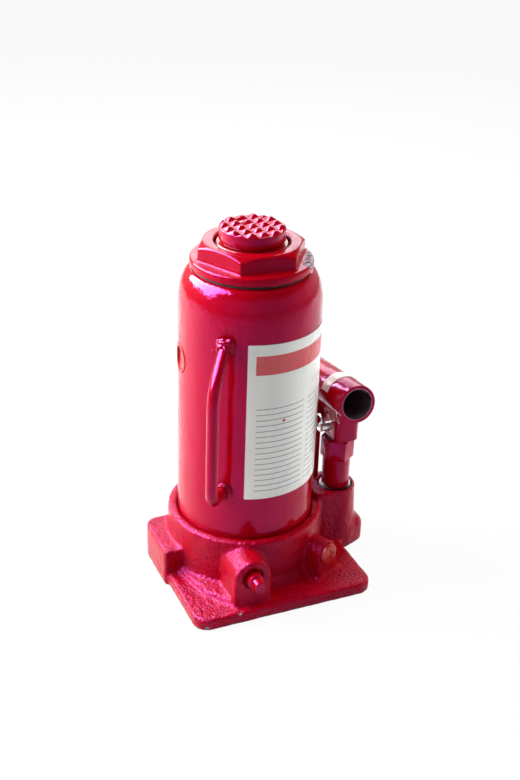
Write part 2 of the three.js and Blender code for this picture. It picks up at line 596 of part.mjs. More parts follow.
// Oil reservoir, with its rolled shoulder and the hole for the filler plug
function oilReservoir() {
  const shoulderRise = TANK_TOP - SHOULDER_START;
  const steps = 6;
  const tankInner = TANK.outer - TANK.wall;
  const outside = [];
  const inside = [];
  for (let i = 0; i <= steps; i += 1) {
    const angle = (Math.PI / 2) * (i / steps);
    const draw = 1 - Math.cos(angle);
    const z = SHOULDER_START + shoulderRise * Math.sin(angle);
    outside.push([TANK.outer - (TANK.outer - TANK.neckOuter) * draw, z]);
    inside.push([tankInner - (tankInner - TANK.neckInner) * draw, z - TANK.wall * Math.sin(angle)]);
  }
  const shell = turned([
    [TANK.outer - TANK.wall, TANK_BOTTOM], [TANK.outer, TANK_BOTTOM], ...outside,
    [TANK.neckInner, TANK_TOP], ...inside.reverse(),
  ]);
  const hole = bar(around(FILLER.azimuth, TANK.outer - 3 * TANK.wall, FILLER_Z),
    around(FILLER.azimuth, TANK.outer + 1, FILLER_Z), FILLER.radius + SEAT_GAP, 28);
  return cut(shell, hole);
}
piece('oil_reservoir', oilReservoir(), paint(RED, 0.2));
piece('reservoir_bottom_gasket',
  ring(TANK.outer - TANK.wall, TANK.outer, TANK_SEAT, TANK_BOTTOM, INNER_ROUND), paint(RUBBER, 0.7));
piece('reservoir_top_gasket',
  ring(TANK.neckInner, TANK.neckOuter, TANK_TOP, FLANGE_BOTTOM, INNER_ROUND), paint(RUBBER, 0.7));

// Top nut: flange, chamfered hexagon, skirt round the pressure cylinder, groove for the wiper
function topNut() {
  const hexagon = prism(polygon(6, NUT.corner, NUT.turn), FLANGE_TOP - 1, NUT_TOP);
  const chamfer = turned([
    [0, FLANGE_BOTTOM], [NUT.flange + 4, FLANGE_BOTTOM], [NUT.flange + 4, FLANGE_TOP],
    [NUT.corner, NUT_TOP - NUT.chamferDrop], [NUT.chamferFlat, NUT_TOP], [0, NUT_TOP],
  ]);
  const flange = turned([
    [0, FLANGE_BOTTOM], [NUT.flange - 0.6, FLANGE_BOTTOM], [NUT.flange, FLANGE_BOTTOM + 0.6],
    [NUT.flange, FLANGE_TOP - 0.8], [NUT.flange - 0.8, FLANGE_TOP], [0, FLANGE_TOP],
  ]);
  const skirt = disc(NUT.skirtOuter, SKIRT_BOTTOM, FLANGE_BOTTOM + 1, INNER_ROUND);
  const threadSpace = disc(CYLINDER_OUTER + SEAT_GAP, SKIRT_BOTTOM - 1, CYLINDER_TOP + SEAT_GAP,
    INNER_ROUND);
  const bore = disc(NUT_BORE, SKIRT_BOTTOM, NUT_TOP + 1);
  const groove = disc(NUT_BORE + WIPER.depth, WIPER_BOTTOM, WIPER_BOTTOM + WIPER.height, INNER_ROUND);
  return cut(join(hexagon.intersect(chamfer), flange, skirt), threadSpace, bore, groove);
}
piece('top_nut', topNut(), paint(RED, 0.22));
piece('ram_wiper', ring(RAM_RADIUS + SLIDE_GAP, NUT_BORE + WIPER.depth - SEAT_GAP, WIPER_BOTTOM,
  WIPER_BOTTOM + WIPER.height, INNER_ROUND), paint(RUBBER, 0.6));

// Pressure cylinder on its copper gasket
const cylinderBottom = CYLINDER_SEAT + GASKET_THICK;
piece('cylinder_gasket', ring(CYLINDER.bore, CYLINDER_OUTER, CYLINDER_SEAT, cylinderBottom, INNER_ROUND),
  metal(COPPER, 0.4));
piece('pressure_cylinder', ring(CYLINDER.bore, CYLINDER_OUTER, cylinderBottom, CYLINDER_TOP, INNER_ROUND),
  metal(DARK_STEEL, 0.4));

// The thread between ram and extension screw. Both ridges lie on one helix, whole turns apart.
const screwRise = SCREW.pitch * SCREW.turns;
const ridgeTurns = SCREW.turns + 1;
const ridgeBottom = RAM_TOP - SCREW.engaged * SCREW.pitch - SCREW.pitch * (SCREW.turns - 1);
const threadFoot = RAM_TOP - (SCREW.engaged + 0.5) * SCREW.pitch;
const threadForm = (gap) => ({
  core: SCREW_CORE + gap, major: SCREW.major + gap,
  crest: SCREW.crest + 2 * gap, root: SCREW.root + 2 * gap,
});

// Ram: piston head at the foot, threaded bore from the top
function ramBody() {
  const headRadius = CYLINDER.bore - SLIDE_GAP;
  const sealTop = CUP_BOTTOM + CUP_SEAL.height + BACKUP_RING.height;
  const outside = turned([
    [0, RAM_BOTTOM], [RETAINER.inner - RAM.footStep, RAM_BOTTOM],
    [RETAINER.inner, RAM_BOTTOM + RAM.footStep],
    [RETAINER.inner, CUP_BOTTOM], [CUP_SEAL.inner, CUP_BOTTOM],
    [CUP_SEAL.inner, sealTop], [headRadius, sealTop], [headRadius, HEAD_TOP - 2],
    [headRadius - 1, HEAD_TOP], [RAM_RADIUS, HEAD_TOP], [RAM_RADIUS, RAM_TOP - 1],
    [RAM_RADIUS - 1, RAM_TOP], [0, RAM_TOP],
  ]);
  const floor = RAM_TOP - RAM.boreDepth;
  const clearBore = disc(SCREW.major + 2 * THREAD_GAP, floor, threadFoot, 2 * THREAD_STEPS);
  const threadedBore = threadedRod({
    ...threadForm(THREAD_GAP), bottom: threadFoot - 2 * SCREW.pitch, top: RAM_TOP + 2 * SCREW.pitch,
    ridgeFrom: ridgeBottom + SCREW.pitch * (SCREW.turns - 2), turns: SCREW.engaged + 2,
  });
  return cut(outside, clearBore, threadedBore);
}
piece('ram', ramBody(), metal(STEEL, 0.18));
piece('ram_cup_seal', turned([
  [CUP_SEAL.inner + SEAT_GAP, CUP_BOTTOM + 0.1], [CUP_SEAL.inner + 2.5, CUP_BOTTOM + 0.1],
  [CUP_SEAL.inner + 3.5, CUP_BOTTOM + 3], [CYLINDER.bore - 1.6, CUP_BOTTOM + 0.1],
  [CYLINDER.bore - SLIDE_GAP, CUP_BOTTOM + 0.1],
  [CYLINDER.bore - SLIDE_GAP, CUP_BOTTOM + CUP_SEAL.height],
  [CUP_SEAL.inner + SEAT_GAP, CUP_BOTTOM + CUP_SEAL.height],
], INNER_ROUND), paint(RUBBER, 0.5));
piece('ram_backup_ring', ring(CUP_SEAL.inner + SEAT_GAP, CYLINDER.bore - SLIDE_GAP,
  CUP_BOTTOM + CUP_SEAL.height, CUP_BOTTOM + CUP_SEAL.height + BACKUP_RING.height, INNER_ROUND),
  paint(0xe8e4da, 0.5));
piece('ram_seal_retainer', ring(RETAINER.inner + SEAT_GAP, CUP_SEAL.inner + 1.6,
  CUP_BOTTOM - RETAINER.height, CUP_BOTTOM, INNER_ROUND), metal(STEEL, 0.4));

// Extension screw, with the groove for its stop ring below the thread
const stopRingBottom = threadFoot - screwRise - STOP_RING.height - SEAT_GAP;
function extensionScrew() {
  const grooveTop = stopRingBottom + STOP_RING.height;
  const rod = threadedRod({
    ...threadForm(0), bottom: grooveTop, top: SADDLE_BOTTOM, ridgeFrom: ridgeBottom, turns: ridgeTurns,
  });
  const foot = turned([
    [0, stopRingBottom - 2], [SCREW_CORE - 1, stopRingBottom - 2], [SCREW_CORE, stopRingBottom - 1],
    [SCREW_CORE, stopRingBottom], [SCREW_CORE - STOP_RING.depth, stopRingBottom],
    [SCREW_CORE - STOP_RING.depth, grooveTop + 1], [0, grooveTop + 1],
  ], THREAD_STEPS);
  const spigot = disc(SADDLE.spigot, SADDLE_BOTTOM - 1, SADDLE_BOTTOM + SADDLE.spigotDepth, SMALL_ROUND);
  return join(rod, foot, spigot);
}
piece('extension_screw', extensionScrew(), metal(0x8d9094, 0.35));
piece('screw_stop_ring', ring(SCREW_CORE - STOP_RING.depth + SEAT_GAP, SCREW_CORE + STOP_RING.proud,
  stopRingBottom + 0.4, stopRingBottom + STOP_RING.height - 0.4, 2 * THREAD_STEPS), metal(STEEL, 0.4));

// Saddle, its top cut into a grid of blunt pyramids
function saddleHead() {
  const valley = SADDLE_TOP - TEETH.depth;
  const head = turned([
    [0, SADDLE_BOTTOM], [SADDLE.radius - 1, SADDLE_BOTTOM], [SADDLE.radius - 1, SADDLE_BOTTOM + 1],
    [SADDLE.radius, SADDLE_BOTTOM + 1.6], [SADDLE.radius, SADDLE_TOP - 1.2],
    [SADDLE.radius - 1, SADDLE_TOP],
    [0, SADDLE_TOP],
  ]);
  const half = (TEETH.count * TEETH.pitch) / 2;
  const slope = (TEETH.pitch - TEETH.flat) / 2;
  const groove = new THREE.Shape([
    new THREE.Vector2(-slope, TEETH.depth), new THREE.Vector2(0, 0), new THREE.Vector2(slope, TEETH.depth),
    new THREE.Vector2(slope, TEETH.depth + 1), new THREE.Vector2(-slope, TEETH.depth + 1),
  ]);
  let grooved = head;
  for (let i = 0; i <= TEETH.count; i += 1) {
    for (const quarter of [0, 90]) {
      const geometry = new THREE.ExtrudeGeometry(groove, { depth: 2 * half, bevelEnabled: false });
      geometry.rotateX(Math.PI / 2).translate(-half + i * TEETH.pitch, half, 0);
      geometry.rotateZ(THREE.MathUtils.degToRad(quarter + TEETH.turn)).translate(0, 0, valley);
      grooved = grooved.subtract(solid(geometry));
    }
  }
  const spigotHole = disc(SADDLE.spigot + SEAT_GAP, SADDLE_BOTTOM - 1,
    SADDLE_BOTTOM + SADDLE.spigotDepth + SEAT_GAP, SMALL_ROUND);
  return cut(grooved, spigotHole);
}
piece('saddle', saddleHead(), paint(RED, 0.25));

// Carry handle: a bent rod with a weld bead at each end
const carryPath = new THREE.CurvePath();
const onTank = TANK.outer + SEAT_GAP;
const carryPoint = (radius, z) => new THREE.Vector3(...around(CARRY.azimuth, radius, z));
function carryHandle() {
  const start = carryPoint(onTank, TOP_WELD);
  const upper = carryPoint(CARRY_REACH, TOP_BEND);
  const lower = carryPoint(CARRY_REACH, LOW_BEND);
  const end = carryPoint(onTank, LOW_WELD);
  const near = (corner, towards, distance) => towards.clone().sub(corner).setLength(distance).add(corner);
  const topBend = [near(upper, start, CARRY.topRadius), upper, near(upper, lower, CARRY.topRadius)];
  const lowBend = [near(lower, upper, CARRY.lowRadius), lower, near(lower, end, CARRY.lowRadius)];
  carryPath.add(new THREE.LineCurve3(start, topBend[0]));
  carryPath.add(new THREE.QuadraticBezierCurve3(...topBend));
  carryPath.add(new THREE.LineCurve3(topBend[2], lowBend[0]));
  carryPath.add(new THREE.QuadraticBezierCurve3(...lowBend));
  carryPath.add(new THREE.LineCurve3(lowBend[2], end));
  const rod = new THREE.ExtrudeGeometry(polygon(12, CARRY.rod, 0), {
    extrudePath: carryPath, steps: 26, bevelEnabled: false, curveSegments: 1,
  });
  return cut(solid(rod), disc(onTank, 0, NUT_TOP));
}
piece('carry_handle', carryHandle(), paint(RED, 0.22));
function weldBead(z, end) {
  const inward = carryPoint(TANK.outer - 1, z).toArray();
  const out = carryPoint(TANK.outer + WELD.long, z + end).toArray();
  const bead = bar(inward, out, WELD.rod + 0.8, 18, CARRY.rod + 0.9);
  const rodSpace = bar(carryPoint(TANK.outer - 3, z - end * 0.9).toArray(),
    carryPoint(TANK.outer + 2 * WELD.long, z + end * 2).toArray(), CARRY.rod + SEAT_GAP, 18);
  return cut(bead, rodSpace, disc(onTank, 0, NUT_TOP));
}
const climb = (radiusFrom, zFrom, radiusTo, zTo) => (WELD.long * (zTo - zFrom)) / (radiusTo - radiusFrom);
piece('carry_handle_weld_upper', weldBead(TOP_WELD,
  climb(onTank, TOP_WELD, CARRY_REACH, TOP_BEND)), paint(RED, 0.3));
piece('carry_handle_weld_lower', weldBead(LOW_WELD,
  climb(onTank, LOW_WELD, CARRY_REACH, LOW_BEND)), paint(RED, 0.3));

// Filler plug: a dished bung that follows the reservoir's wall
function fillerPlug() {
  const face = TANK.outer + FILLER.proud;
  const at = (radius) => around(FILLER.azimuth, radius, FILLER_Z);
  const back = TANK.outer - TANK.wall - FILLER.behind;
  const bung = bar(at(back - FILLER.radius), at(face + 1), FILLER.radius, 28);
  const shell = ring(back, face, FILLER_Z - 2 * FILLER.radius, FILLER_Z + 2 * FILLER.radius);
  const dished = disc(face - FILLER.dish, FILLER_Z - 2 * FILLER.radius, FILLER_Z + 2 * FILLER.radius);
  const bowl = cut(bar(at(back), at(face + 2), FILLER.radius - FILLER.rim, 24), dished);
  return cut(bung.intersect(shell), bowl);
}
piece('filler_plug', fillerPlug(), paint(CAST_RED, 0.45));

// Pump cylinder with its hexagon head and gland
const pumpBottom = PUMP.seat + PUMP.washer;
function pumpCylinder() {
  const corner = HEX_FLAT / Math.cos(Math.PI / 6);
  const hexagon = prism(polygon(6, corner, PUMP.hexTurn), HEX_BOTTOM, HEX_TOP);
  const crown = turned([
    [0, HEX_BOTTOM - 2], [PUMP.body, HEX_BOTTOM - 1.2], [corner + 1, HEX_BOTTOM + 1],
    [corner + 1, HEX_TOP - 2], [HEX_FLAT - 0.6, HEX_TOP], [0, HEX_TOP],
  ], 36);
  const barrel = disc(PUMP.body, pumpBottom, HEX_BOTTOM + 1, 36);
  const wiperSeat = disc(PUMP_BORE + GLAND.depth, HEX_TOP - GLAND.height, HEX_TOP + 1, SMALL_ROUND);
  const bore = disc(PUMP_BORE, pumpBottom - 1, HEX_TOP + 1, SMALL_ROUND);
  return cut(join(hexagon.intersect(crown), barrel), bore, wiperSeat);
}
piece('pump_cylinder', pumpAt(pumpCylinder()), paint(RED, 0.25));
piece('pump_washer', pumpAt(ring(PUMP_BORE, PUMP.body, PUMP.seat, pumpBottom, 36)), metal(COPPER, 0.4));
piece('gland_wiper', pumpAt(ring(PLUNGER.radius + SLIDE_GAP, PUMP_BORE + GLAND.depth - SEAT_GAP,
  HEX_TOP - GLAND.height, HEX_TOP - GLAND.below, SMALL_ROUND)), paint(RUBBER, 0.6));

// Pump plunger: round below, flattened to an eye above. The eye is a slot, because the
// linkage is opened at this pivot.
const shoulderZ = HEX_TOP + 0.6;
const shoulderDrop = PIVOT_P.z - shoulderZ;
function pumpPlunger() {
  const shank = turned([
    [0, PLUNGER_BOTTOM], [PLUNGER.radius - 0.8, PLUNGER_BOTTOM], [PLUNGER.radius, PLUNGER_BOTTOM + 0.8],
    [PLUNGER.radius, PLUNGER_SEAL_BOTTOM], [PLUNGER.radius - PLUNGER_SEAL.depth, PLUNGER_SEAL_BOTTOM],
    [PLUNGER.radius - PLUNGER_SEAL.depth, PLUNGER_SEAL_BOTTOM + PLUNGER_SEAL.height],
    [PLUNGER.radius, PLUNGER_SEAL_BOTTOM + PLUNGER_SEAL.height], [PLUNGER.radius, shoulderZ],
    [0, shoulderZ],
  ], SMALL_ROUND);
  const half = PLUNGER.tang / 2;
  const tangWide = 0.7 * PLUNGER.radius;
  const tang = block([-half, -tangWide, shoulderZ - 1], [half, tangWide, PIVOT_P.z]);
  const eye = bar([-half, 0, PIVOT_P.z], [half, 0, PIVOT_P.z], PLUNGER.eye);
  const slot = new THREE.Shape();
  const holeRadius = PIN.plunger + EYE_PLAY.z;
  const run = EYE_PLAY.y - EYE_PLAY.z;
  slot.absarc(run, PIVOT_P.z, holeRadius, -Math.PI / 2, Math.PI / 2);
  slot.absarc(-run, PIVOT_P.z, holeRadius, Math.PI / 2, (3 * Math.PI) / 2);
  return cut(join(shank, tang, eye), plateAcrossX(slot, -PUMP.body, PUMP.body));
}
piece('pump_plunger', pumpAt(pumpPlunger()), metal(STEEL, 0.2));
piece('plunger_seal', pumpAt(ring(PLUNGER.radius - PLUNGER_SEAL.depth + SEAT_GAP, PUMP_BORE - 0.1,
  PLUNGER_SEAL_BOTTOM + 0.2, PLUNGER_SEAL_BOTTOM + PLUNGER_SEAL.height - 0.2, SMALL_ROUND)),
  paint(RUBBER, 0.5));

// Handle socket: a tube for the handle bar, a neck with a slot for the plunger's eye, and a lug
// for the link's upper pin
const alongSocket = (distance, lift = 0) => [
  PUMP_X, MOUTH_Y + distance * Math.cos(TILT) + lift * Math.sin(TILT),
  MOUTH_Z - distance * Math.sin(TILT) + lift * Math.cos(TILT)];
const acrossSocket = (shape, from, to) => {
  const geometry = new THREE.ExtrudeGeometry(shape, { depth: to - from, bevelEnabled: false });
  geometry.rotateX(Math.PI / 2).rotateX(-TILT);
  return solid(geometry.translate(...alongSocket(to)));
};
function handleSocket() {
  const half = SOCKET.neckWidth / 2;
  const [x0, x1] = [PUMP_X - half, PUMP_X + half];
  const tube = bar(alongSocket(0), alongSocket(SOCKET.length), SOCKET.outer, 40);
  const neckPlan = prism(rounded([
    [x0, NECK_FRONT, SOCKET.neckCorner], [x1, NECK_FRONT, SOCKET.neckCorner],
    [x1, NECK_BACK, 1], [x0, NECK_BACK, 1],
  ]), NECK_LOW_BACK - 2, MOUTH_Z, 4);
  const neckSide = plateAcrossX(new THREE.Shape([
    new THREE.Vector2(NECK_FRONT, NECK_LOW),
    new THREE.Vector2(NECK_BACK, NECK_LOW_BACK),
    new THREE.Vector2(NECK_BACK, axisZ(NECK_BACK)),
    new THREE.Vector2(NECK_FRONT, axisZ(NECK_FRONT)),
  ]), x0, x1);
  const [l0, l1] = [PUMP_X - LUG_HALF, PUMP_X + LUG_HALF];
  const lug = join(
    axle(PIVOT_L, l0, l1, LUG.upper, 24),
    block([l0, PIVOT_L.y - LUG.upper, PIVOT_L.z], [l1, PIVOT_L.y + LUG.upper, axisZ(PIVOT_L.y)]),
    block([l0, PUMP.y - SOCKET.webFront, PIVOT_P.z + SOCKET.webUp], [l1, PIVOT_L.y, axisZ(PIVOT_L.y)]),
  );
  const widest = Math.sqrt(SOCKET.outer ** 2 - SOCKET.filletHigh ** 2) - 0.1;
  const fillet = acrossSocket(new THREE.Shape([
    new THREE.Vector2(-half, SOCKET.filletLow), new THREE.Vector2(half, SOCKET.filletLow),
    new THREE.Vector2(widest, SOCKET.filletHigh), new THREE.Vector2(-widest, SOCKET.filletHigh),
  ]), NECK_FRONT - MOUTH_Y, NECK_BACK - MOUTH_Y);
  const slotHalf = PLUNGER.tang / 2 + SLIDE_GAP;
  const slot = block([PUMP_X - slotHalf, NECK_FRONT + SOCKET.slotWall, NECK_LOW_BACK - 5],
    [PUMP_X + slotHalf, PIVOT_L.y - LUG.upper - 1, PIVOT_P.z + SOCKET.slotUp]);
  const shankRoom = Array.from({ length: SWING.cuts + 1 }, (_, i) => {
    const angle = THREE.MathUtils.degToRad((SWING.degrees * i) / SWING.cuts);
    const at = (distance) => [
      PUMP_X, PIVOT_P.y + distance * Math.sin(angle), PIVOT_P.z - distance * Math.cos(angle)];
    return bar(at(shoulderDrop - 2 * SLIDE_GAP), at(3 * shoulderDrop), PLUNGER.radius + 2 * SLIDE_GAP, 24);
  });
  const bore = bar(alongSocket(-1), alongSocket(SOCKET.length - SOCKET.endWall), SOCKET_BORE, 36);
  const pinHole = axle(PIVOT_P, x0 - 1, x1 + 1, PIN.plunger + SEAT_GAP);
  const linkHole = axle(PIVOT_L, x0 - 1, x1 + 1, PIN.link + SEAT_GAP);
  const neck = neckPlan.intersect(neckSide);
  return cut(join(tube, neck, lug, fillet), slot, ...shankRoom, bore, pinHole, linkHole);
}
piece('handle_socket', handleSocket(), paint(RED, 0.2));

// Pins: a head at one side, a groove or hole for its clip at the other
const neckHalf = SOCKET.neckWidth / 2;
const linkOuter = LUG_HALF + LINK.gap + LINK.thick;
const ringX = PUMP_X - linkOuter - PIN_RING.wire - SLIDE_GAP;
const ringSag = PIN_RING.radius - Math.sqrt(PIN_RING.radius ** 2 - PIN.plunger ** 2);
function plungerPin() {
  const right = PUMP_X + neckHalf;
  const holeRadius = PIN_RING.wire + ringSag / 2 + SEAT_GAP;
  const pin = join(
    axle(PIVOT_P, ringX - holeRadius - PIN.beyond, right + 0.5, PIN.plunger),
    axle(PIVOT_P, right + SEAT_GAP, right + SEAT_GAP + PIN.head, PIN.headRadius),
  );
  const holeY = PIVOT_P.y + ringSag / 2;
  const ringHole = bar([ringX, holeY, PIVOT_P.z - PIN.headRadius], [ringX, holeY, PIVOT_P.z + PIN.headRadius],
    holeRadius, DRILL_ROUND);
  return cut(pin, ringHole);
}
piece('plunger_pin', plungerPin(), metal(STEEL, 0.2));
piece('plunger_pin_ring', solid(new THREE.TorusGeometry(PIN_RING.radius, PIN_RING.wire, 6, 18)
  .rotateY(Math.PI / 2).translate(ringX, PIVOT_P.y + PIN_RING.radius, PIVOT_P.z)), metal(STEEL, 0.25));

// Link plates on both sides of the socket's lug and the base's lug
function linkPlate(side) {
  const inner = PUMP_X + side * (LUG_HALF + LINK.gap);
  const outer = inner + side * LINK.thick;
  const [x0, x1] = side < 0 ? [outer, inner] : [inner, outer];
  const shape = new THREE.Shape();
  shape.absarc(PIVOT_L.y, PIVOT_L.z, LINK.upperEnd, 0, Math.PI);
  shape.absarc(PIVOT_B.y, PIVOT_B.z, LINK.lowerEnd, Math.PI, 2 * Math.PI);
  shape.closePath();
  const plate = plateAcrossX(shape, x0, x1, 12);
  const hole = (pivot) => axle(pivot, x0 - 1, x1 + 1, PIN.link + SEAT_GAP);
  return cut(plate, hole(PIVOT_L), hole(PIVOT_B));
}
piece('link_plate_left', linkPlate(-1), paint(RED, 0.3));
piece('link_plate_right', linkPlate(1), paint(RED, 0.3));

// A link pin and the clip in its groove
function linkPin(pivot) {
  const headFace = PUMP_X + linkOuter + SEAT_GAP;
  const tail = PUMP_X - linkOuter - SEAT_GAP - CLIP.thick - SEAT_GAP - 1;
  const pin = join(
    axle(pivot, tail, headFace + 0.5, PIN.link),
    axle(pivot, headFace, headFace + PIN.head, PIN.headRadius + 0.5),
  );
  const grooveAt = PUMP_X - linkOuter - SEAT_GAP - CLIP.thick;
  const groove = cut(
    axle(pivot, grooveAt - 0.2, grooveAt + CLIP.thick + 0.1, PIN.link + 1),
    axle(pivot, grooveAt - 1, grooveAt + CLIP.thick + 1, PIN.link - CLIP.depth),
  );
  return cut(pin, groove);
}
function linkClip(pivot) {
  const grooveAt = PUMP_X - linkOuter - SEAT_GAP - CLIP.thick;
  return cut(
    axle(pivot, grooveAt, grooveAt + CLIP.thick, CLIP.outer),
    axle(pivot, grooveAt - 1, grooveAt + CLIP.thick + 1, PIN.link - CLIP.depth + SEAT_GAP),
    block([grooveAt - 1, pivot.y - CLIP.mouth, pivot.z - CLIP.outer - 1],
      [grooveAt + CLIP.thick + 1, pivot.y + CLIP.mouth, pivot.z]),
  );
}
for (const [name, pivot] of [['link_top', PIVOT_L], ['link_bottom', PIVOT_B]]) {
  piece(`${name}_pin`, linkPin(pivot), metal(STEEL, 0.25));
  piece(`${name}_clip`, linkClip(pivot), metal(DARK_STEEL, 0.3));
}

// Release valve: screwed stem with two flats for the handle's slot, O-ring and ball
const ringAt = RELEASE_FACE + RELEASE.counterDepth + 1.5;
function releaseScrew() {
  const at = (y) => [RELEASE.x, y, RELEASE.z];
  const tipEnd = RELEASE_SEAT - 2 * VALVE_BALL - SEAT_GAP;
  const stem = join(
    bar(at(RELEASE_SHOULDER + 1), at(RELEASE_FACE + RELEASE.counterDepth - SLIDE_GAP), RELEASE.stem, 20),
    bar(at(RELEASE_SHOULDER), at(RELEASE_SHOULDER + 1), RELEASE.stem - 1.2, 20, RELEASE.stem),
    bar(at(STEM_END + 0.6), at(RELEASE_SHOULDER + 1), RELEASE.tail, 20),
    bar(at(STEM_END), at(STEM_END + 0.6), RELEASE.tail - 0.6, 20, RELEASE.tail),
    bar(at(RELEASE_FACE), at(tipEnd - RELEASE.tip), RELEASE.thread),
    bar(at(tipEnd - RELEASE.tip), at(tipEnd), RELEASE.thread, SMALL_ROUND, RELEASE.thread - RELEASE.tip),
  );
  const reach = RELEASE.stem + 1;
  const flat = (side) => block(
    [RELEASE.x + (side < 0 ? -reach : RELEASE.flat), STEM_END - 1, RELEASE.z - reach],
    [RELEASE.x + (side < 0 ? -RELEASE.flat : reach), RELEASE_SHOULDER - 0.3, RELEASE.z + reach]);
  const ringGroove = cut(
    bar(at(ringAt), at(ringAt + O_RING.height), RELEASE.thread + 1),
    bar(at(ringAt - 1), at(ringAt + O_RING.height + 1), RELEASE.thread - 2 * O_RING.wire),
  );
  return cut(stem, flat(-1), flat(1), ringGroove);
}
piece('release_valve_screw', releaseScrew(), paint(0xd21a1a, 0.3));
piece('release_valve_oring', cut(
  bar([RELEASE.x, ringAt + 0.2, RELEASE.z], [RELEASE.x, ringAt + O_RING.height - 0.2, RELEASE.z],
    RELEASE.thread + 0.1),
  bar([RELEASE.x, ringAt - 1, RELEASE.z], [RELEASE.x, ringAt + O_RING.height + 1, RELEASE.z],
    RELEASE.thread - 2 * O_RING.wire + SEAT_GAP),
), paint(RUBBER, 0.5));
piece('release_ball', ball(RELEASE.x, RELEASE_SEAT - VALVE_BALL, RELEASE.z, VALVE_BALL),
  metal(STEEL, 0.15));

// Safety valve: plug, spring and ball
const safetyBallAt = SAFETY_BOTTOM + VALVE_BALL;
const safetySpringFrom = safetyBallAt + VALVE_BALL + SPRING.wire + 0.2;
const safetySpringTo = safetySpringFrom + SAFETY.springLong;
function safetyPlug() {
  const face = SAFETY_REACH + SAFETY.plugOut;
  const groove = (across, up) => {
    const slot = new THREE.BoxGeometry(across, up, 2 * SAFETY.crossDeep);
    slot.rotateX(Math.PI / 2).rotateZ(THREE.MathUtils.degToRad(SAFETY.azimuth + 90));
    return solid(slot.translate(...safetyAt(face)));
  };
  return cut(
    join(
      bar(safetyAt(safetySpringTo + SPRING.wire + 0.2), safetyAt(SAFETY_REACH + 1), SAFETY.bore, 20),
      bar(safetyAt(SAFETY_REACH), safetyAt(face), SAFETY.plug, 28, SAFETY.plug - 0.5),
    ),
    groove(SAFETY.crossWide, SAFETY.crossLong), groove(SAFETY.crossLong, SAFETY.crossWide),
  );
}
piece('safety_valve_plug', safetyPlug(), paint(0xd8402c, 0.45));
piece('safety_spring', spring(safetyAt(safetySpringFrom), safetyAt(safetySpringTo), SAFETY.bore - 1.6),
  metal(STEEL, 0.3));
piece('safety_ball', ball(...safetyAt(safetyBallAt), VALVE_BALL), metal(STEEL, 0.15));

// Check valves
piece('suction_ball', ball(PUMP_X, PUMP.y, CHAMBER.bottom + DISCHARGE.ball, DISCHARGE.ball),
  metal(STEEL, 0.15));
const strainerTop = FLOOR_TOP + SUCTION.strainerHeight;
piece('suction_strainer', moved(turned([
  [PASSAGE, FLOOR_TOP], [SUCTION.strainer, FLOOR_TOP], [SUCTION.strainer - 1, strainerTop],
  [0, strainerTop], [0, strainerTop - SUCTION.strainerSkin], [PASSAGE, strainerTop - SUCTION.strainerSkin],
], SMALL_ROUND), ...around(SUCTION.azimuth, OIL_RADIUS, 0)), metal(0xb5a46a, 0.5));
const dischargeBallZ = DISCHARGE.seat - DISCHARGE.ball;
const dischargeSpringTop = dischargeBallZ - DISCHARGE.ball - SPRING.wire - 0.1;
piece('discharge_ball', ball(DISCHARGE_X, PUMP.y, dischargeBallZ, DISCHARGE.ball), metal(STEEL, 0.15));
piece('discharge_plug', moved(disc(DISCHARGE.bore - SEAT_GAP, DISCHARGE.plugInset, DISCHARGE.plugTop, 18),
  DISCHARGE_X, PUMP.y, 0), metal(DARK_STEEL, 0.4));
piece('discharge_spring', spring([DISCHARGE_X, PUMP.y, DISCHARGE.plugTop + SPRING.wire + 0.1],
  [DISCHARGE_X, PUMP.y, dischargeSpringTop], DISCHARGE.bore - 1.2), metal(STEEL, 0.3));

// Labels, thin skins that follow the reservoir and the socket
function skin(inner, outer, from, to, step) {
  const count = Math.round((to - from) / step);
  const arc = (radius, i) => {
    const angle = THREE.MathUtils.degToRad(from + ((to - from) * i) / count);
    return new THREE.Vector2(radius * Math.cos(angle), radius * Math.sin(angle));
  };
  const steps = Array.from({ length: count + 1 }, (_, i) => i);
  return new THREE.Shape([...steps.map((i) => arc(outer, i)), ...steps.reverse().map((i) => arc(inner, i))]);
}
const labelInner = TANK.outer + TANK_LABEL.gap;
piece('tank_label', prism(skin(labelInner, labelInner + TANK_LABEL.thick, TANK_LABEL.from, TANK_LABEL.to,
  TANK_LABEL.step), COLLAR.top + TANK_LABEL.above, SHOULDER_START - TANK_LABEL.below), paint(PAPER, 0.5));
const bandInner = SOCKET.outer + SOCKET_LABEL.gap;
piece('socket_label', acrossSocket(skin(bandInner, bandInner + SOCKET_LABEL.thick, SOCKET_LABEL.from,
  SOCKET_LABEL.to, SOCKET_LABEL.step), SOCKET_LABEL.front, SOCKET_LABEL.front + SOCKET_LABEL.wide),
  paint(0xf2f2ef, 0.5));

export default jack;
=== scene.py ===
# %% [markdown]
# # A hydraulic bottle jack
# A bottle jack lifts a vehicle from below. A rough iron foot carries a steel bottle of oil, and
# a ram with a screw inside it comes out of the top. A small hand pump stands beside the bottle.
# The measured solids are loaded first, so that every finish and every new piece goes where the
# real one sits. Places and sizes are given in millimetres and become metres through MM. Only the
# finishes, which work in fractions of a millimetre, count in metres.

# %% Load the solids
import json
import math

import bpy
from mathutils import Matrix, Vector

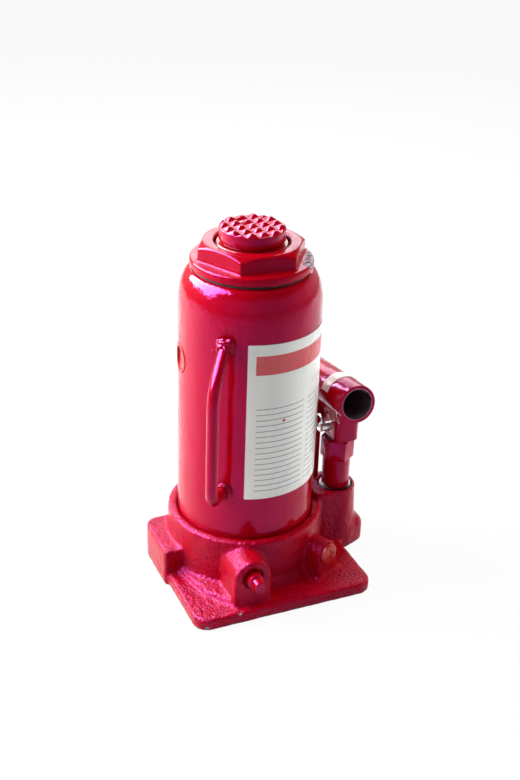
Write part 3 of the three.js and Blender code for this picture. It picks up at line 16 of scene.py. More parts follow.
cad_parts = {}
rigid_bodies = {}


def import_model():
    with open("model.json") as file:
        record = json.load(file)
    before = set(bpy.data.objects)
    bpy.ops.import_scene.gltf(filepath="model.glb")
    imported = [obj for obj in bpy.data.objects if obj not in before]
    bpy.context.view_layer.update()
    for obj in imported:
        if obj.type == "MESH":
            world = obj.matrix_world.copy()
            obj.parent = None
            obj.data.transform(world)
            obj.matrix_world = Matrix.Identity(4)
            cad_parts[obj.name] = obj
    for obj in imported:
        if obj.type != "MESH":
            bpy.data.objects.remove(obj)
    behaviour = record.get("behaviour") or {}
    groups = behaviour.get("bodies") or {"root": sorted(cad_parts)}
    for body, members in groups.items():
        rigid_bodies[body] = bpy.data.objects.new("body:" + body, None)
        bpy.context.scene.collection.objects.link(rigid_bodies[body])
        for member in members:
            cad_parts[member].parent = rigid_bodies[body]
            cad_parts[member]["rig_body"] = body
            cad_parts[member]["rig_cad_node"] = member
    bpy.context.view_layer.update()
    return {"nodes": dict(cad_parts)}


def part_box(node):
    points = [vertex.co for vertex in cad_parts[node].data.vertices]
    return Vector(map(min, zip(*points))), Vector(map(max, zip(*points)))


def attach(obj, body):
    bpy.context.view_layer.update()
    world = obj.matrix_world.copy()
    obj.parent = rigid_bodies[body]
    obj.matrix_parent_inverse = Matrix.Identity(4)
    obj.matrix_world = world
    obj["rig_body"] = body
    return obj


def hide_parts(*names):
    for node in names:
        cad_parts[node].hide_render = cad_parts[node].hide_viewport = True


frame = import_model()
MM = 0.001


def at(x, y, z):
    """A place on the jack, given in millimetres."""
    return Vector((x, y, z)) * MM


# %% [markdown]
# ## The camera
# The photographer stood in front and to the left, a little above the jack, and the camera leaned
# by two degrees. A camera can be aimed with a constraint, but three measured angles are easier
# to check: each turns into one axis of the camera's own frame.

# %% Camera
AZIMUTH = math.radians(-24.134)
ELEVATION = math.radians(27.548)
ROLL = math.radians(2.025)
CAMERA_PLACE = (-0.2649, -0.6098, 0.4690)
LENS = 56.22
SENSOR_WIDTH = 36.0
back = Vector((
    math.sin(AZIMUTH) * math.cos(ELEVATION),
    -math.cos(AZIMUTH) * math.cos(ELEVATION),
    math.sin(ELEVATION),
))
right = Vector((0, 0, 1)).cross(back).normalized()
up = back.cross(right)
camera_x = right * math.cos(ROLL) + up * math.sin(ROLL)
camera_y = up * math.cos(ROLL) - right * math.sin(ROLL)
bpy.ops.object.camera_add()
camera = bpy.context.object
camera.name = "photo_camera"
camera.data.lens = LENS
camera.data.sensor_width = SENSOR_WIDTH
turned = Matrix((camera_x, camera_y, back)).transposed().to_4x4()
camera.matrix_world = Matrix.Translation(CAMERA_PLACE) @ turned
bpy.context.scene.camera = camera
bpy.context.scene.view_settings.view_transform = "Standard"
print("camera", round(camera.location.length, 3), "m from the origin")

# %% [markdown]
# ## Shader maths as plain Python
# Every finish below mixes patterns, and wiring each Math node by hand hides the idea. The small
# class wraps one output socket, so that a sum or a product of two patterns is written as one,
# and a finish adds any node by its type.

# %% A socket that can be added and multiplied
class Flow:
    """One output socket. Each sum, difference or product of it adds a Math node."""

    def __init__(self, finish, socket):
        self.finish = finish
        self.socket = socket

    def __add__(self, other):
        return self.finish.math("ADD", self, other)

    def __sub__(self, other):
        return self.finish.math("SUBTRACT", self, other)

    def __rsub__(self, other):
        return self.finish.math("SUBTRACT", other, self)

    def __mul__(self, other):
        return self.finish.math("MULTIPLY", self, other)

    __radd__ = __add__
    __rmul__ = __mul__


# %% A finish that grows node by node
class Finish:
    """A material. Its patterns read the place on the jack, in metres."""

    output = "ShaderNodeOutputMaterial"

    def __init__(self, name):
        self.material = bpy.data.materials.new(name)
        self.material.use_nodes = True
        self.tree = self.material.node_tree
        self.tree.nodes.clear()
        self.place = self.node("ShaderNodeTexCoord", out="Object")

    def node(self, kind, sockets=None, out=0, **settings):
        """Adds a node. A socket takes a value or a link, and out names the output to pass on."""
        made = self.tree.nodes.new(kind)
        for name, value in settings.items():
            setattr(made, name, value)
        for key, value in (sockets or {}).items():
            if isinstance(value, Flow):
                self.tree.links.new(value.socket, made.inputs[key])
            else:
                made.inputs[key].default_value = value
        return Flow(self, made.outputs[out])

    def math(self, operation, first, second):
        return self.node("ShaderNodeMath", {0: first, 1: second}, operation=operation)

    def part(self, vector, axis):
        return self.node("ShaderNodeSeparateXYZ", {0: vector}, out=axis)

    def height(self):
        return self.part(self.place, "Z")

    def ray(self, kind):
        """1 for one kind of light ray."""
        return self.node("ShaderNodeLightPath", out=f"Is {kind} Ray")

    def noise(self, scale, detail=3.0, stretch=None):
        place = self.place
        if stretch:
            place = self.node("ShaderNodeMapping", {"Vector": place, "Scale": stretch})
        return self.node("ShaderNodeTexNoise", {"Vector": place, "Scale": scale, "Detail": detail})

    def step(self, value, low, high):
        """0 below low and 1 above high, with a soft passage between; low may be the greater."""
        return self.node("ShaderNodeMapRange", {0: value, 1: low, 2: high},
                         interpolation_type="SMOOTHSTEP")

    def blend(self, amount, first, second):
        return self.node("ShaderNodeMix", {0: amount, 6: first, 7: second}, out=2,
                         data_type="RGBA")

    def spot(self, place, reach, ragged=0.5):
        """1 inside a ragged spot round a place."""
        away = self.node("ShaderNodeVectorMath", {0: self.place, 1: place}, out="Value",
                         operation="DISTANCE")
        edge = away + (self.noise(900.0) - 0.5) * (2 * ragged * reach)
        return self.step(edge, reach, 0.7 * reach)

    def bump(self, height, distance, under=None):
        sockets = {"Height": height, "Distance": distance}
        if under:
            sockets["Normal"] = under
        return self.node("ShaderNodeBump", sockets)

    def shown(self, shader):
        """Wires a shader to the output."""
        output = self.tree.nodes.new(self.output)
        self.tree.links.new(shader.socket, output.inputs["Surface"])

    def surface(self, sockets):
        self.shown(self.node("ShaderNodeBsdfPrincipled", sockets))
        return self.material


# %% [markdown]
# ## The stage
# A catalogue photograph is taken on white paper between soft lights. Upright enamel seen from
# above mirrors the paper in front of it, so the paper matters more to the bottle's looks than
# any lamp: it is bright on the left, under the key light, and grey on the right, in the jack's
# own shadow. The paper is therefore almost pure white to the camera and mostly real, lit paper to
# a reflection. The room shows a pale backdrop near the horizon and a dim ceiling, which keeps the
# shoulder of the bottle deep red.

# %% Paper floor
WHITE = (1, 1, 1, 1)
PAPER = (0.70, 0.70, 0.70, 1)


def paper(name, to_camera, to_gloss):
    """Paper that looks white to the camera and pale to a reflection, and keeps a soft shadow."""
    finish = Finish(name)
    direct = finish.math("MAXIMUM", finish.ray("Camera"), finish.ray("Transmission"))
    white_share = finish.math("MAXIMUM", direct * to_camera, finish.ray("Glossy") * to_gloss)
    matt = finish.node("ShaderNodeBsdfDiffuse", {"Color": PAPER})
    white = finish.node("ShaderNodeEmission", {"Color": WHITE, "Strength": 1.0})
    finish.shown(finish.node("ShaderNodeMixShader", {0: white_share, 1: matt, 2: white}))
    return finish.material


bpy.ops.mesh.primitive_plane_add(size=16)
floor = bpy.context.object
floor.name = "paper_floor"
floor.data.materials.append(paper("floor_paper", to_camera=0.93, to_gloss=0.25))
print("floor", floor.dimensions.x, "m wide")


# %% The pale room round it
class Room(Finish):
    """The world, built with the same methods as a finish."""

    output = "ShaderNodeOutputWorld"

    def __init__(self, name):
        world = bpy.data.worlds.new(name)
        bpy.context.scene.world = world
        world.use_nodes = True
        self.tree = world.node_tree
        self.tree.nodes.clear()
        self.place = self.node("ShaderNodeTexCoord", out="Generated")


def pale_room(to_diffuse, ceiling, wall):
    """White to the camera; to a reflection, a pale backdrop below a dim ceiling."""
    room = Room("pale_room")
    backdrop = ceiling + room.step(room.height(), 0.62, 0.34) * (wall - ceiling)
    direct = room.math("MAXIMUM", room.ray("Camera"), room.ray("Transmission"))
    strength = room.math("MAXIMUM", direct, room.ray("Glossy") * backdrop)
    strength = room.math("MAXIMUM", strength, to_diffuse)
    room.shown(room.node("ShaderNodeBackground", {"Color": WHITE, "Strength": strength}))


pale_room(to_diffuse=0.08, ceiling=0.04, wall=0.65)
print("world", bpy.context.scene.world.name)


# %% Soft lights
def soft_light(name, place, aim, wide, high, watts, lights=True, mirrored=True):
    """A soft light that looks at a point. It can only light, or only be mirrored in gloss."""
    bpy.ops.object.light_add(type="AREA", location=place)
    light = bpy.context.object
    light.name = name
    light.data.shape = "RECTANGLE"
    light.data.size = wide
    light.data.size_y = high
    light.data.energy = watts
    light.visible_diffuse = lights
    light.visible_glossy = mirrored
    toward = Vector(aim) - Vector(place)
    light.rotation_euler = toward.to_track_quat("-Z", "Y").to_euler()
    print(name, round(toward.length, 2), "m away,", watts, "W")


soft_light("key_softbox", (-0.74, 0.44, 0.60), (0, 0, 0.08), 0.8, 0.8, 28, mirrored=False)
soft_light("key_panel", (-0.76, 0.50, 0.98), (0, 0, 0.15), 1.6, 1.1, 190, lights=False)
soft_light("rear_softbox", (0.42, 1.00, 0.72), (0, 0, 0.12), 0.9, 0.6, 7)
soft_light("right_strip", (0.95, 0.00, 0.40), (0, 0, 0.12), 0.30, 0.7, 9, mirrored=False)
soft_light("top_light", (-0.10, -0.20, 1.30), (0, 0, 0.10), 0.6, 0.6, 5, mirrored=False)


# %% [markdown]
# ## The red enamel
# The bottle, nut, saddle, handle and pump are sprayed in one glossy crimson enamel. It is thick
# and a little wavy, like orange peel, and it is chipped to grey metal where tools and the floor
# touch it. The colour is one deep red with a slight drift, the peel and the slow waves are bump,
# and each chip is a ragged spot at its own place, so that it sits in the same spot in any view.

# %% Enamel
CRIMSON = (0.41, 0.0004, 0.007, 1)
DEEP_CRIMSON = (0.34, 0.0003, 0.005, 1)
BARE_METAL = (0.50, 0.47, 0.45, 1)
SHEEN_PINK = (0.9, 0.14, 0.90, 1)  # the enamel's gloss leans to pink


def crimson(finish, scale, detail=2.0):
    """The paint's red, which drifts a little over a slow pattern."""
    return finish.blend(finish.noise(scale, detail), DEEP_CRIMSON, CRIMSON)


def glossy_paint(finish, colour, roughness, normal, metallic=0.0, level=0.5):
    """The surface of every enamel below. The level says how strong its gloss is."""
    return finish.surface({
        "Base Color": colour,
        "Metallic": metallic,
        "Roughness": roughness,
        "Specular IOR Level": level,
        "Specular Tint": SHEEN_PINK,
        "Normal": normal,
    })


def masked(finish, marks):
    """All the marks together: 1 on any of them. A mark is a place and a reach."""
    whole = None
    for place, reach in marks:
        spot = finish.spot(at(*place), reach * MM)
        whole = finish.math("MAXIMUM", whole, spot) if whole else spot
    return whole


def enamel(name, chips=(), wave=1.0):
    """Sprayed enamel. The peel is coarser near the shoulder, where the spray came down."""
    finish = Finish(name)
    colour = crimson(finish, 28.0)
    dull = finish.step(finish.noise(70.0, 5.0), 0.45, 0.75)
    rough = 0.09 + dull * 0.06
    coarser = 0.25 + 0.75 * finish.step(finish.height(), 0.150, 0.185)
    waves = finish.bump(finish.noise(70.0, 1.0), 0.0006 * wave)
    peel = finish.bump(finish.noise(430.0, 2.0) * coarser, 0.00022 * wave, waves)
    if not chips:
        return glossy_paint(finish, colour, rough, peel)
    bare = masked(finish, chips)
    return glossy_paint(finish, finish.blend(bare, colour, BARE_METAL), rough + bare * 0.28,
                        finish.bump(1 - bare, 0.00025, peel), metallic=bare * 0.85)


body_enamel = enamel("body_enamel")
print(body_enamel.name, len(body_enamel.node_tree.nodes), "nodes")

# %% [markdown]
# The nut has been gripped by a wrench. On its front right corner the paint is gone in short
# streaks that run round it. A second pattern, squeezed along the height, breaks the patch into
# streaks. The rod of the carry handle has two worn spots where it rubs in a tool box.

# %% Worn nut and worn rod
NUT_WEAR = (
    ((25.4, -23.0, 209.0), 3.4),
    ((27.5, -19.8, 209.6), 4.2),
    ((31.8, -15.6, 210.4), 4.6),
    ((34.0, -10.3, 210.2), 5.0),
    ((37.0, -4.5, 209.8), 4.6),
)
ROD_WEAR = (((-40.1, -40.6, 140.0), 1.3), ((-42.5, -46.0, 120.0), 0.9))
STREAK_DARK = (0.03, 0.004, 0.008, 1)
STREAK_PALE = (0.50, 0.46, 0.46, 1)


def worn_nut_enamel():
    finish = Finish("nut_enamel")
    patch = masked(finish, NUT_WEAR)
    streaks = finish.step(finish.noise(420.0, 4.0, stretch=(1, 1, 3.5)), 0.45, 0.52)
    bare = patch * streaks
    worn = finish.blend(streaks, STREAK_DARK, STREAK_PALE)
    waves = finish.bump(finish.noise(90.0, 1.0), 0.0003)
    peel = finish.bump(finish.noise(420.0, 2.0), 0.00016, waves)
    return glossy_paint(finish, finish.blend(patch, crimson(finish, 28.0), worn),
                        0.14 + patch * 0.40, finish.bump(1 - bare, 0.0002, peel),
                        metallic=bare * 0.15, level=0.24)


nut_enamel = worn_nut_enamel()
rod_enamel = enamel("rod_enamel", chips=ROD_WEAR, wave=0.6)
print(nut_enamel.name, rod_enamel.name)

# %% [markdown]
# The saddle's teeth bite into the vehicle, so their flat tips lose paint first. The worn tips
# are found by height: only what lies within half a millimetre of the top can be bare.

# %% Saddle finish
def saddle_enamel():
    finish = Finish("saddle_enamel")
    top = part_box("saddle")[1].z
    tips = finish.step(finish.height(), top - 0.0005, top - 0.0001)
    bare = tips * finish.step(finish.noise(300.0, 4.0), 0.62, 0.70)
    colour = finish.blend(bare, crimson(finish, 60.0), BARE_METAL)
    peel = finish.bump(finish.noise(380.0, 2.0), 0.0001)
    return glossy_paint(finish, colour, 0.17 + bare * 0.2, peel, metallic=bare * 0.8)


tooth_enamel = saddle_enamel()
print(tooth_enamel.name)

# %% [markdown]
# The handle socket is painted outside only. Its bore is dark oily steel, so the finish measures
# how far a point lies from the bore's tilted axis and lets the paint end at the mouth. It also
# measures the depth along that axis, because the closed end behind the bore is painted again.

# %% Socket finish
SOCKET_TILT = math.radians(7.5)
SOCKET_AXIS_POINT = at(62.4, -27.4, 114.2)
SOCKET_ALONG = Vector((0, math.cos(SOCKET_TILT), -math.sin(SOCKET_TILT)))
SOCKET_BORE_END = 0.0715  # from the mouth; the closed end behind it is painted
SOCKET_PAINT_EDGE = (0.0103, 0.0101)  # from the axis: all paint, then none
OILY_DARK = (0.22, 0.13, 0.17, 1)
OILY_BRIGHT = (0.66, 0.50, 0.58, 1)


def socket_enamel():
    finish = Finish("socket_enamel")
    from_axis = finish.node("ShaderNodeVectorMath", {0: finish.place, 1: SOCKET_AXIS_POINT},
                            operation="SUBTRACT")
    sideways = finish.node("ShaderNodeVectorMath", {0: from_axis, 1: SOCKET_ALONG},
                           operation="CROSS_PRODUCT")
    radius = finish.node("ShaderNodeVectorMath", {0: sideways}, out="Value", operation="LENGTH")
    depth = finish.node("ShaderNodeVectorMath", {0: from_axis, 1: SOCKET_ALONG}, out="Value",
                        operation="DOT_PRODUCT")
    ragged = (finish.noise(700.0) - 0.5) * 0.0003
    bore = finish.step(radius + ragged, *SOCKET_PAINT_EDGE)
    bore = bore * finish.step(depth, SOCKET_BORE_END + 0.001, SOCKET_BORE_END)
    steel = finish.blend(finish.noise(160.0, 4.0), OILY_DARK, OILY_BRIGHT)
    waves = finish.bump(finish.noise(120.0, 1.0), 0.0003)
    return glossy_paint(finish, finish.blend(bore, crimson(finish, 40.0), steel),
                        0.11 + bore * 0.20, finish.bump(finish.noise(600.0, 2.0), 0.0001, waves),
                        metallic=bore * 0.9)


handle_enamel = socket_enamel()
print(handle_enamel.name)

# %% [markdown]
# ## The cast foot
# The foot came out of a sand mould, was ground a little and then painted with the rest. Sand
# leaves grains under the paint, so the same red gets a bump in three sizes, and where the grain
# dips the red is darkened as painted shade. The faces that look up are the roughest, because
# sand settles there, and the walls were drawn out of the mould smooth, so the surface's own
# normal decides how strong the grain is. Chips on the plate's edges show grey iron.

# %% Cast enamel
PLATE_CHIPS = (((-51.0, -67.2, 1.8), 1.7), ((-29.9, -68.0, 7.6), 1.4))
# Painted shade for the dips of the grain.
GRAIN_SHADE_CRIMSON = (0.16, 0.0003, 0.004, 1)
CAST_IRON = (0.20, 0.19, 0.18, 1)


def cast_enamel():
    finish = Finish("cast_enamel")
    normal = finish.node("ShaderNodeNewGeometry", out="Normal")
    faces_up = finish.step(finish.part(normal, "Z"), 0.25, 0.75)
    sand = finish.noise(900.0, 3.0)
    grain = finish.noise(470.0, 4.0)
    slow = finish.noise(95.0, 3.0)
    # Painted shade: where the grain dips, the red is darkened as if shade fell there.
    grain_shade = finish.step(grain, 0.54, 0.38)
    shade = finish.blend(slow, DEEP_CRIMSON, CRIMSON)
    colour = finish.blend(grain_shade * 0.35, shade, GRAIN_SHADE_CRIMSON)
    bare = masked(finish, PLATE_CHIPS)
    rough = 0.55 + 0.45 * faces_up
    wavy = finish.bump(slow, 0.0008)
    grained = finish.bump(grain * rough, 0.0011, wavy)
    sandy = finish.bump(sand * rough, 0.0004, grained)
    return glossy_paint(finish, finish.blend(bare, colour, CAST_IRON),
                        0.15 + sand * 0.12 + bare * 0.25, finish.bump(1 - bare, 0.0003, sandy),
                        metallic=bare * 0.7, level=0.30)


iron_enamel = cast_enamel()
print(iron_enamel.name)

# %% [markdown]
# ## Bare metals
# Turned pins are bright steel with fine marks that run round them, the screw and the clips are
# darker, and the washers are soft copper. One function makes them all, because only the colour,
# the roughness and the direction of the marks differ. The ram has a finish of its own: it is
# polished, and its end face was sprayed over together with the saddle.

# %% Steels and copper
def turned_metal(name, dark, bright, roughness, stretch=(1, 1, 12)):
    finish = Finish(name)
    marks = finish.noise(260.0, 4.0, stretch=stretch)
    stains = finish.step(finish.noise(95.0, 5.0), 0.42, 0.70)
    return finish.surface({
        "Base Color": finish.blend(stains, bright, dark),
        "Metallic": 1.0,
        "Roughness": roughness + marks * 0.12 + stains * 0.08,
        "Normal": finish.bump(marks, 0.00006),
    })


bright_steel = turned_metal("bright_steel", (0.50, 0.49, 0.48, 1), (0.72, 0.72, 0.73, 1), 0.16)
pin_steel = turned_metal("pin_steel", (0.42, 0.41, 0.41, 1), (0.66, 0.66, 0.68, 1), 0.22,
                         stretch=(12, 1, 1))
dark_steel = turned_metal("dark_steel", (0.10, 0.10, 0.11, 1), (0.24, 0.24, 0.25, 1), 0.32)
copper = turned_metal("copper_washer", (0.55, 0.26, 0.13, 1), (0.83, 0.45, 0.26, 1), 0.28)
print(bright_steel.name, pin_steel.name, dark_steel.name, copper.name)


# %% The ram
RAM_PAINT_EDGE = (0.2160, 0.2164)  # heights: no paint, then all


def ram_steel():
    """Polished below, and sprayed over on the end face round the saddle."""
    finish = Finish("ram_steel")
    end_face = finish.step(finish.height(), *RAM_PAINT_EDGE)
    marks = finish.noise(240.0, 3.0, stretch=(1, 1, 10))
    steel = finish.blend(marks, (0.60, 0.60, 0.61, 1), (0.75, 0.75, 0.76, 1))
    return finish.surface({
        "Base Color": finish.blend(end_face, steel, crimson(finish, 60.0)),
        "Metallic": 1 - end_face,
        "Roughness": 0.12 + marks * 0.06 + end_face * 0.08,
        "Normal": finish.bump(marks, 0.00003),
    })


ram_finish = ram_steel()
print(ram_finish.name)

# %% [markdown]
# ## Seals, plastic and mesh
# Rubber is almost black and matt with a bloom of grey dust. The two plugs are moulded in a
# duller red plastic than the paint. The strainer is a woven brass mesh, which two waves
# across each other show at this size.

# %% Rubber, ring and plug
def moulded(name, dark, pale, roughness, grain):
    finish = Finish(name)
    cloudy = finish.noise(120.0, 4.0)
    return finish.surface({
        "Base Color": finish.blend(finish.step(cloudy, 0.35, 0.70), dark, pale),
        "Roughness": roughness + cloudy * 0.15,
        "Normal": finish.bump(finish.noise(grain, 3.0), 0.00008),
    })


rubber = moulded("black_rubber", (0.012, 0.012, 0.013, 1), (0.035, 0.034, 0.034, 1), 0.55, 900.0)
white_ring = moulded("white_ring", (0.70, 0.68, 0.62, 1), (0.82, 0.80, 0.76, 1), 0.35, 700.0)
plug_plastic = moulded("plug_plastic", (0.38, 0.002, 0.006, 1), (0.50, 0.006, 0.012, 1), 0.24,
                       500.0)
print(rubber.name, white_ring.name, plug_plastic.name)


# %% Brass mesh
def woven_mesh():
    finish = Finish("strainer_mesh")
    threads = [finish.node("ShaderNodeTexWave", {"Vector": finish.place, "Scale": 520.0},
                           out=1, bands_direction=way) for way in ("X", "Y")]
    weave = finish.math("MAXIMUM", *threads)
    return finish.surface({
        "Base Color": finish.blend(weave, (0.05, 0.04, 0.02, 1), (0.72, 0.58, 0.30, 1)),
        "Metallic": 1.0,
        "Roughness": 0.45 - weave * 0.15,
        "Normal": finish.bump(weave, 0.0002),
    })


strainer = woven_mesh()
print(strainer.name)

# %% [markdown]
# ## The film label
# A film label is wrapped round the bottle. It is a blank form: a red band above two columns of
# thin grey rules, inside pale margins. An image could be mapped on it, but a few bands are easier
# to lay out from two numbers, the height and the length round the bottle. Handling has rubbed the
# film, so it has grey smears and one place where the red shows through.

# %% Label layout, in metres
LABEL_RADIUS = 0.0434
LABEL_START = math.radians(114)  # how far before the X axis the label begins
LABEL_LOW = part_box("tank_label")[0].z
LABEL_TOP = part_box("tank_label")[1].z
HEAD_DEPTHS = (0.0190, 0.0070)  # below the top
HEAD_SPAN = (0.005, 0.071)
RULE_HEIGHTS = (0.005, 0.064)  # above the lower edge
RULE_PITCH = 0.0037
RULE_IN_ROW = (0.0018, 0.0023)
LEFT_COLUMN = (0.006, 0.0385)
RIGHT_COLUMN = (0.0425, 0.070)
LABEL_RUB = (((5.2, -43.0, 122.2), 1.1),)
FILM = (0.80, 0.82, 0.79, 1)
SMEAR = (0.45, 0.44, 0.43, 1)
RULE_GREY = (0.16, 0.16, 0.17, 1)
HEAD_RED = (0.62, 0.012, 0.03, 1)
RUBBED_RED = (0.45, 0.02, 0.03, 1)
print("label", round(LABEL_TOP - LABEL_LOW, 4), "m high")


# %% Label finish
def band(finish, value, low, high, soft=0.0002):
    """1 where the value lies between low and high."""
    return finish.step(value, low - soft, low) * finish.step(value, high + soft, high)


def label_film():
    finish = Finish("label_film")
    x, y, height = (finish.part(finish.place, axis) for axis in "XYZ")
    along = (finish.math("ARCTAN2", y, x) + LABEL_START) * LABEL_RADIUS
    head = band(finish, height, *(LABEL_TOP - depth for depth in HEAD_DEPTHS))
    head = head * band(finish, along, *HEAD_SPAN)
    in_row = finish.math("MODULO", height - LABEL_LOW, RULE_PITCH)
    rules = band(finish, in_row, *RULE_IN_ROW, soft=0.0001)
    rules = rules * band(finish, height, *(LABEL_LOW + rise for rise in RULE_HEIGHTS))
    rules = rules * finish.math("MAXIMUM", band(finish, along, *LEFT_COLUMN),
                                band(finish, along, *RIGHT_COLUMN))
    smears = finish.step(finish.noise(75.0, 6.0, stretch=(1, 1, 0.5)), 0.52, 0.80)
    rubbed = masked(finish, LABEL_RUB)
    colour = finish.blend(smears * 0.28, FILM, SMEAR)
    colour = finish.blend(rules * 0.75, colour, RULE_GREY)
    colour = finish.blend(head * 0.92, colour, HEAD_RED)
    colour = finish.blend(rubbed, colour, RUBBED_RED)
    wrinkles = finish.bump(finish.noise(48.0, 2.0, stretch=(1, 1, 0.35)), 0.0009)
    return finish.surface({
        "Base Color": colour,
        "Roughness": 0.26 + smears * 0.2,
        "Specular IOR Level": 0.4,
        "Normal": wrinkles,
    })


film = label_film()
print(film.name, len(film.node_tree.nodes), "nodes")

# %% [markdown]
# ## Tools for the new pieces
# Each new piece starts as a copy of its measured solid or as a primitive. Operators act on
# whatever is selected, so the first helper selects one piece and nothing else. The copy loses
# the tags of the solid, and its loose triangles are merged so that edges can be found.

# %% Select, copy and finish
def only(piece):
    """Makes one piece the selected and active one."""
    bpy.ops.object.select_all(action="DESELECT")
    piece.select_set(True)
    bpy.context.view_layer.objects.active = piece


def own_copy(node, name):
    """A merged copy of a measured solid, free to be reshaped."""
    only(frame["nodes"][node])
    bpy.ops.object.duplicate()
    piece = bpy.context.object
    piece.name = name
    piece.parent = None
    del piece["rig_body"]
    del piece["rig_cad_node"]
    piece.data.materials.clear()
    bpy.ops.object.mode_set(mode="EDIT")
    bpy.ops.mesh.select_all(action="SELECT")
    bpy.ops.mesh.remove_doubles(threshold=1e-6)
    bpy.ops.mesh.customdata_custom_splitnormals_clear()
    bpy.ops.object.mode_set(mode="OBJECT")
    return piece


def applied(piece, kind, **settings):
    """Adds one modifier with its settings and applies it."""
    only(piece)
    modifier = piece.modifiers.new(kind.lower(), kind)
    for name, value in settings.items():
        setattr(modifier, name, value)
    bpy.ops.object.modifier_apply(modifier=modifier.name)


def smooth(piece, sharp_from):
    """Shades a piece smoothly and keeps the edges sharp that turn by more than an angle."""
    only(piece)
    bpy.ops.object.shade_smooth_by_angle(angle=math.radians(sharp_from))


def finished(piece, material, body, slot, *nodes):
    """Gives a piece its finish and body, and hides the solids it replaces. The slot is not used.
    """
    piece.data.materials.append(material)
    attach(piece, body)
    if nodes:
        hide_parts(*nodes)
    piece.data.calc_loop_triangles()
    print(piece.name, len(piece.data.loop_triangles), "triangles")


# %% [markdown]
# ## The foot in rough iron
# The measured foot has the right bosses and edges, but they meet in sharp corners. A sand
# casting has a soft radius in every corner. Bevelling hundreds of crossing edges fails, so the
# copy is rebuilt in one millimetre cells, smoothed until the corners flow, and pushed in and out
# by a cloud pattern. The bores were machined after casting, so the four that show are cut sharp
# again with round cutters.

# %% Soft corners and sand texture
CAST_CELL = 1.05
SAND_LUMP = 6.0
SAND_DEPTH = 0.45
cast_base = own_copy("base_casting", "cast_base")
applied(cast_base, "REMESH", mode="VOXEL", voxel_size=CAST_CELL * MM)
applied(cast_base, "SMOOTH", factor=0.5, iterations=9)
sand = bpy.data.textures.new("sand", "CLOUDS")
sand.noise_scale = SAND_LUMP * MM
applied(cast_base, "DISPLACE", texture=sand, texture_coords="LOCAL", strength=SAND_DEPTH * MM,
        mid_level=0.5)
print("rough foot", len(cast_base.data.polygons), "faces")


# %% Machined bores
def bore_cutter(radius, start, end):
    """A round cutter between two places."""
    along = end - start
    bpy.ops.mesh.primitive_cylinder_add(vertices=72, radius=radius * MM, depth=along.length)
    cutter = bpy.context.object
    cutter.matrix_world = Matrix.Translation((start + end) / 2) @ (
        along.to_track_quat("Z", "Y").to_matrix().to_4x4())
    return cutter


def cut(piece, cutter, operation="DIFFERENCE"):
    """Cuts a piece with another one, which is used up."""
    applied(piece, "BOOLEAN", object=cutter, operation=operation, solver="EXACT")
    bpy.data.objects.remove(cutter)


# %% The four bores of the foot
COLLAR_BORE = 43.35
PUMP_BOSS_BORE = 11.1
RELEASE_BORE = 6.4
SAFETY_BORE = 7.3
PUMP_AXIS = (62.4, -5.0)
SAFETY_SIDE = math.radians(-61.7)
safety_low, safety_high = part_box("safety_valve_plug")
safety_middle = (safety_low + safety_high) / 2
safety_out = Vector((math.cos(SAFETY_SIDE), math.sin(SAFETY_SIDE), 0))
bores = (
    (COLLAR_BORE, at(0, 0, 22.0), at(0, 0, 60.0)),
    (PUMP_BOSS_BORE, at(*PUMP_AXIS, 42.0), at(*PUMP_AXIS, 56.0)),
    (RELEASE_BORE, at(-19, -58.7, 26.4), at(-19, -70.0, 26.4)),
    (SAFETY_BORE, safety_middle - 4 * MM * safety_out, safety_middle + 20 * MM * safety_out),
)
for bore in bores:
    cut(cast_base, bore_cutter(*bore))
smooth(cast_base, 45)
finished(cast_base, iron_enamel, "jack_body", "casting_enamel", "base_casting")

# %% [markdown]
# ## Nut and saddle under thick paint
# Thick enamel fills sharp corners and draws back from sharp edges, so nothing on the nut or the
# saddle is really crisp. Fine cells and a few rounds of smoothing do the same to the copies. The
# saddle's outer teeth have also been worn and hammered down into a round rim, so the saddle is
# first cut to what it shares with a round-edged drum.

# %% Painted nut
NUT_CELL = 0.7
painted_nut = own_copy("top_nut", "painted_nut")
applied(painted_nut, "REMESH", mode="VOXEL", voxel_size=NUT_CELL * MM)
applied(painted_nut, "SMOOTH", factor=0.5, iterations=4)
smooth(painted_nut, 50)
finished(painted_nut, nut_enamel, "jack_body", "red_enamel", "top_nut")

# %% Worn saddle
SADDLE_CELL = 0.38
DRUM_RADIUS = 19.8
DRUM_DEPTH = 25.0
DRUM_MIDDLE = 217.7
DRUM_EDGE = 3.6
worn_saddle = own_copy("saddle", "worn_saddle")
bpy.ops.mesh.primitive_cylinder_add(vertices=96, radius=DRUM_RADIUS * MM, depth=DRUM_DEPTH * MM,
                                    location=at(0, 0, DRUM_MIDDLE))
drum = bpy.context.object
applied(drum, "BEVEL", width=DRUM_EDGE * MM, segments=8, angle_limit=math.radians(40))
cut(worn_saddle, drum, operation="INTERSECT")
applied(worn_saddle, "REMESH", mode="VOXEL", voxel_size=SADDLE_CELL * MM)
applied(worn_saddle, "SMOOTH", factor=0.5, iterations=2)
smooth(worn_saddle, 50)
finished(worn_saddle, tooth_enamel, "screw_body", "red_enamel", "saddle")

# %% [markdown]
# ## The bottle
# The bottle is a drawn steel tube with a rolled shoulder, and it shows the longest reflections
# on the jack, so it needs more and finer steps round than a measured solid. A lathe piece is the
# outline of one side spun round the axis. The outline starts as one vertex, and extrude and move
# draw it point by point. The hole for the filler plug is then bored through the wall.

# %% Outline of the bottle, as radius and height
BOTTLE_OUTER = 43.0
BOTTLE_WALL = 3.0
BOTTLE_INNER = BOTTLE_OUTER - BOTTLE_WALL
NECK_OUTER = 34.6
NECK_INNER = 33.4
SHOULDER_RISE = 20.4
FOOT_BEVEL = 0.4
STEPS = 14
bottle_low, bottle_high = (corner.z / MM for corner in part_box("oil_reservoir"))
shoulder_start = bottle_high - SHOULDER_RISE


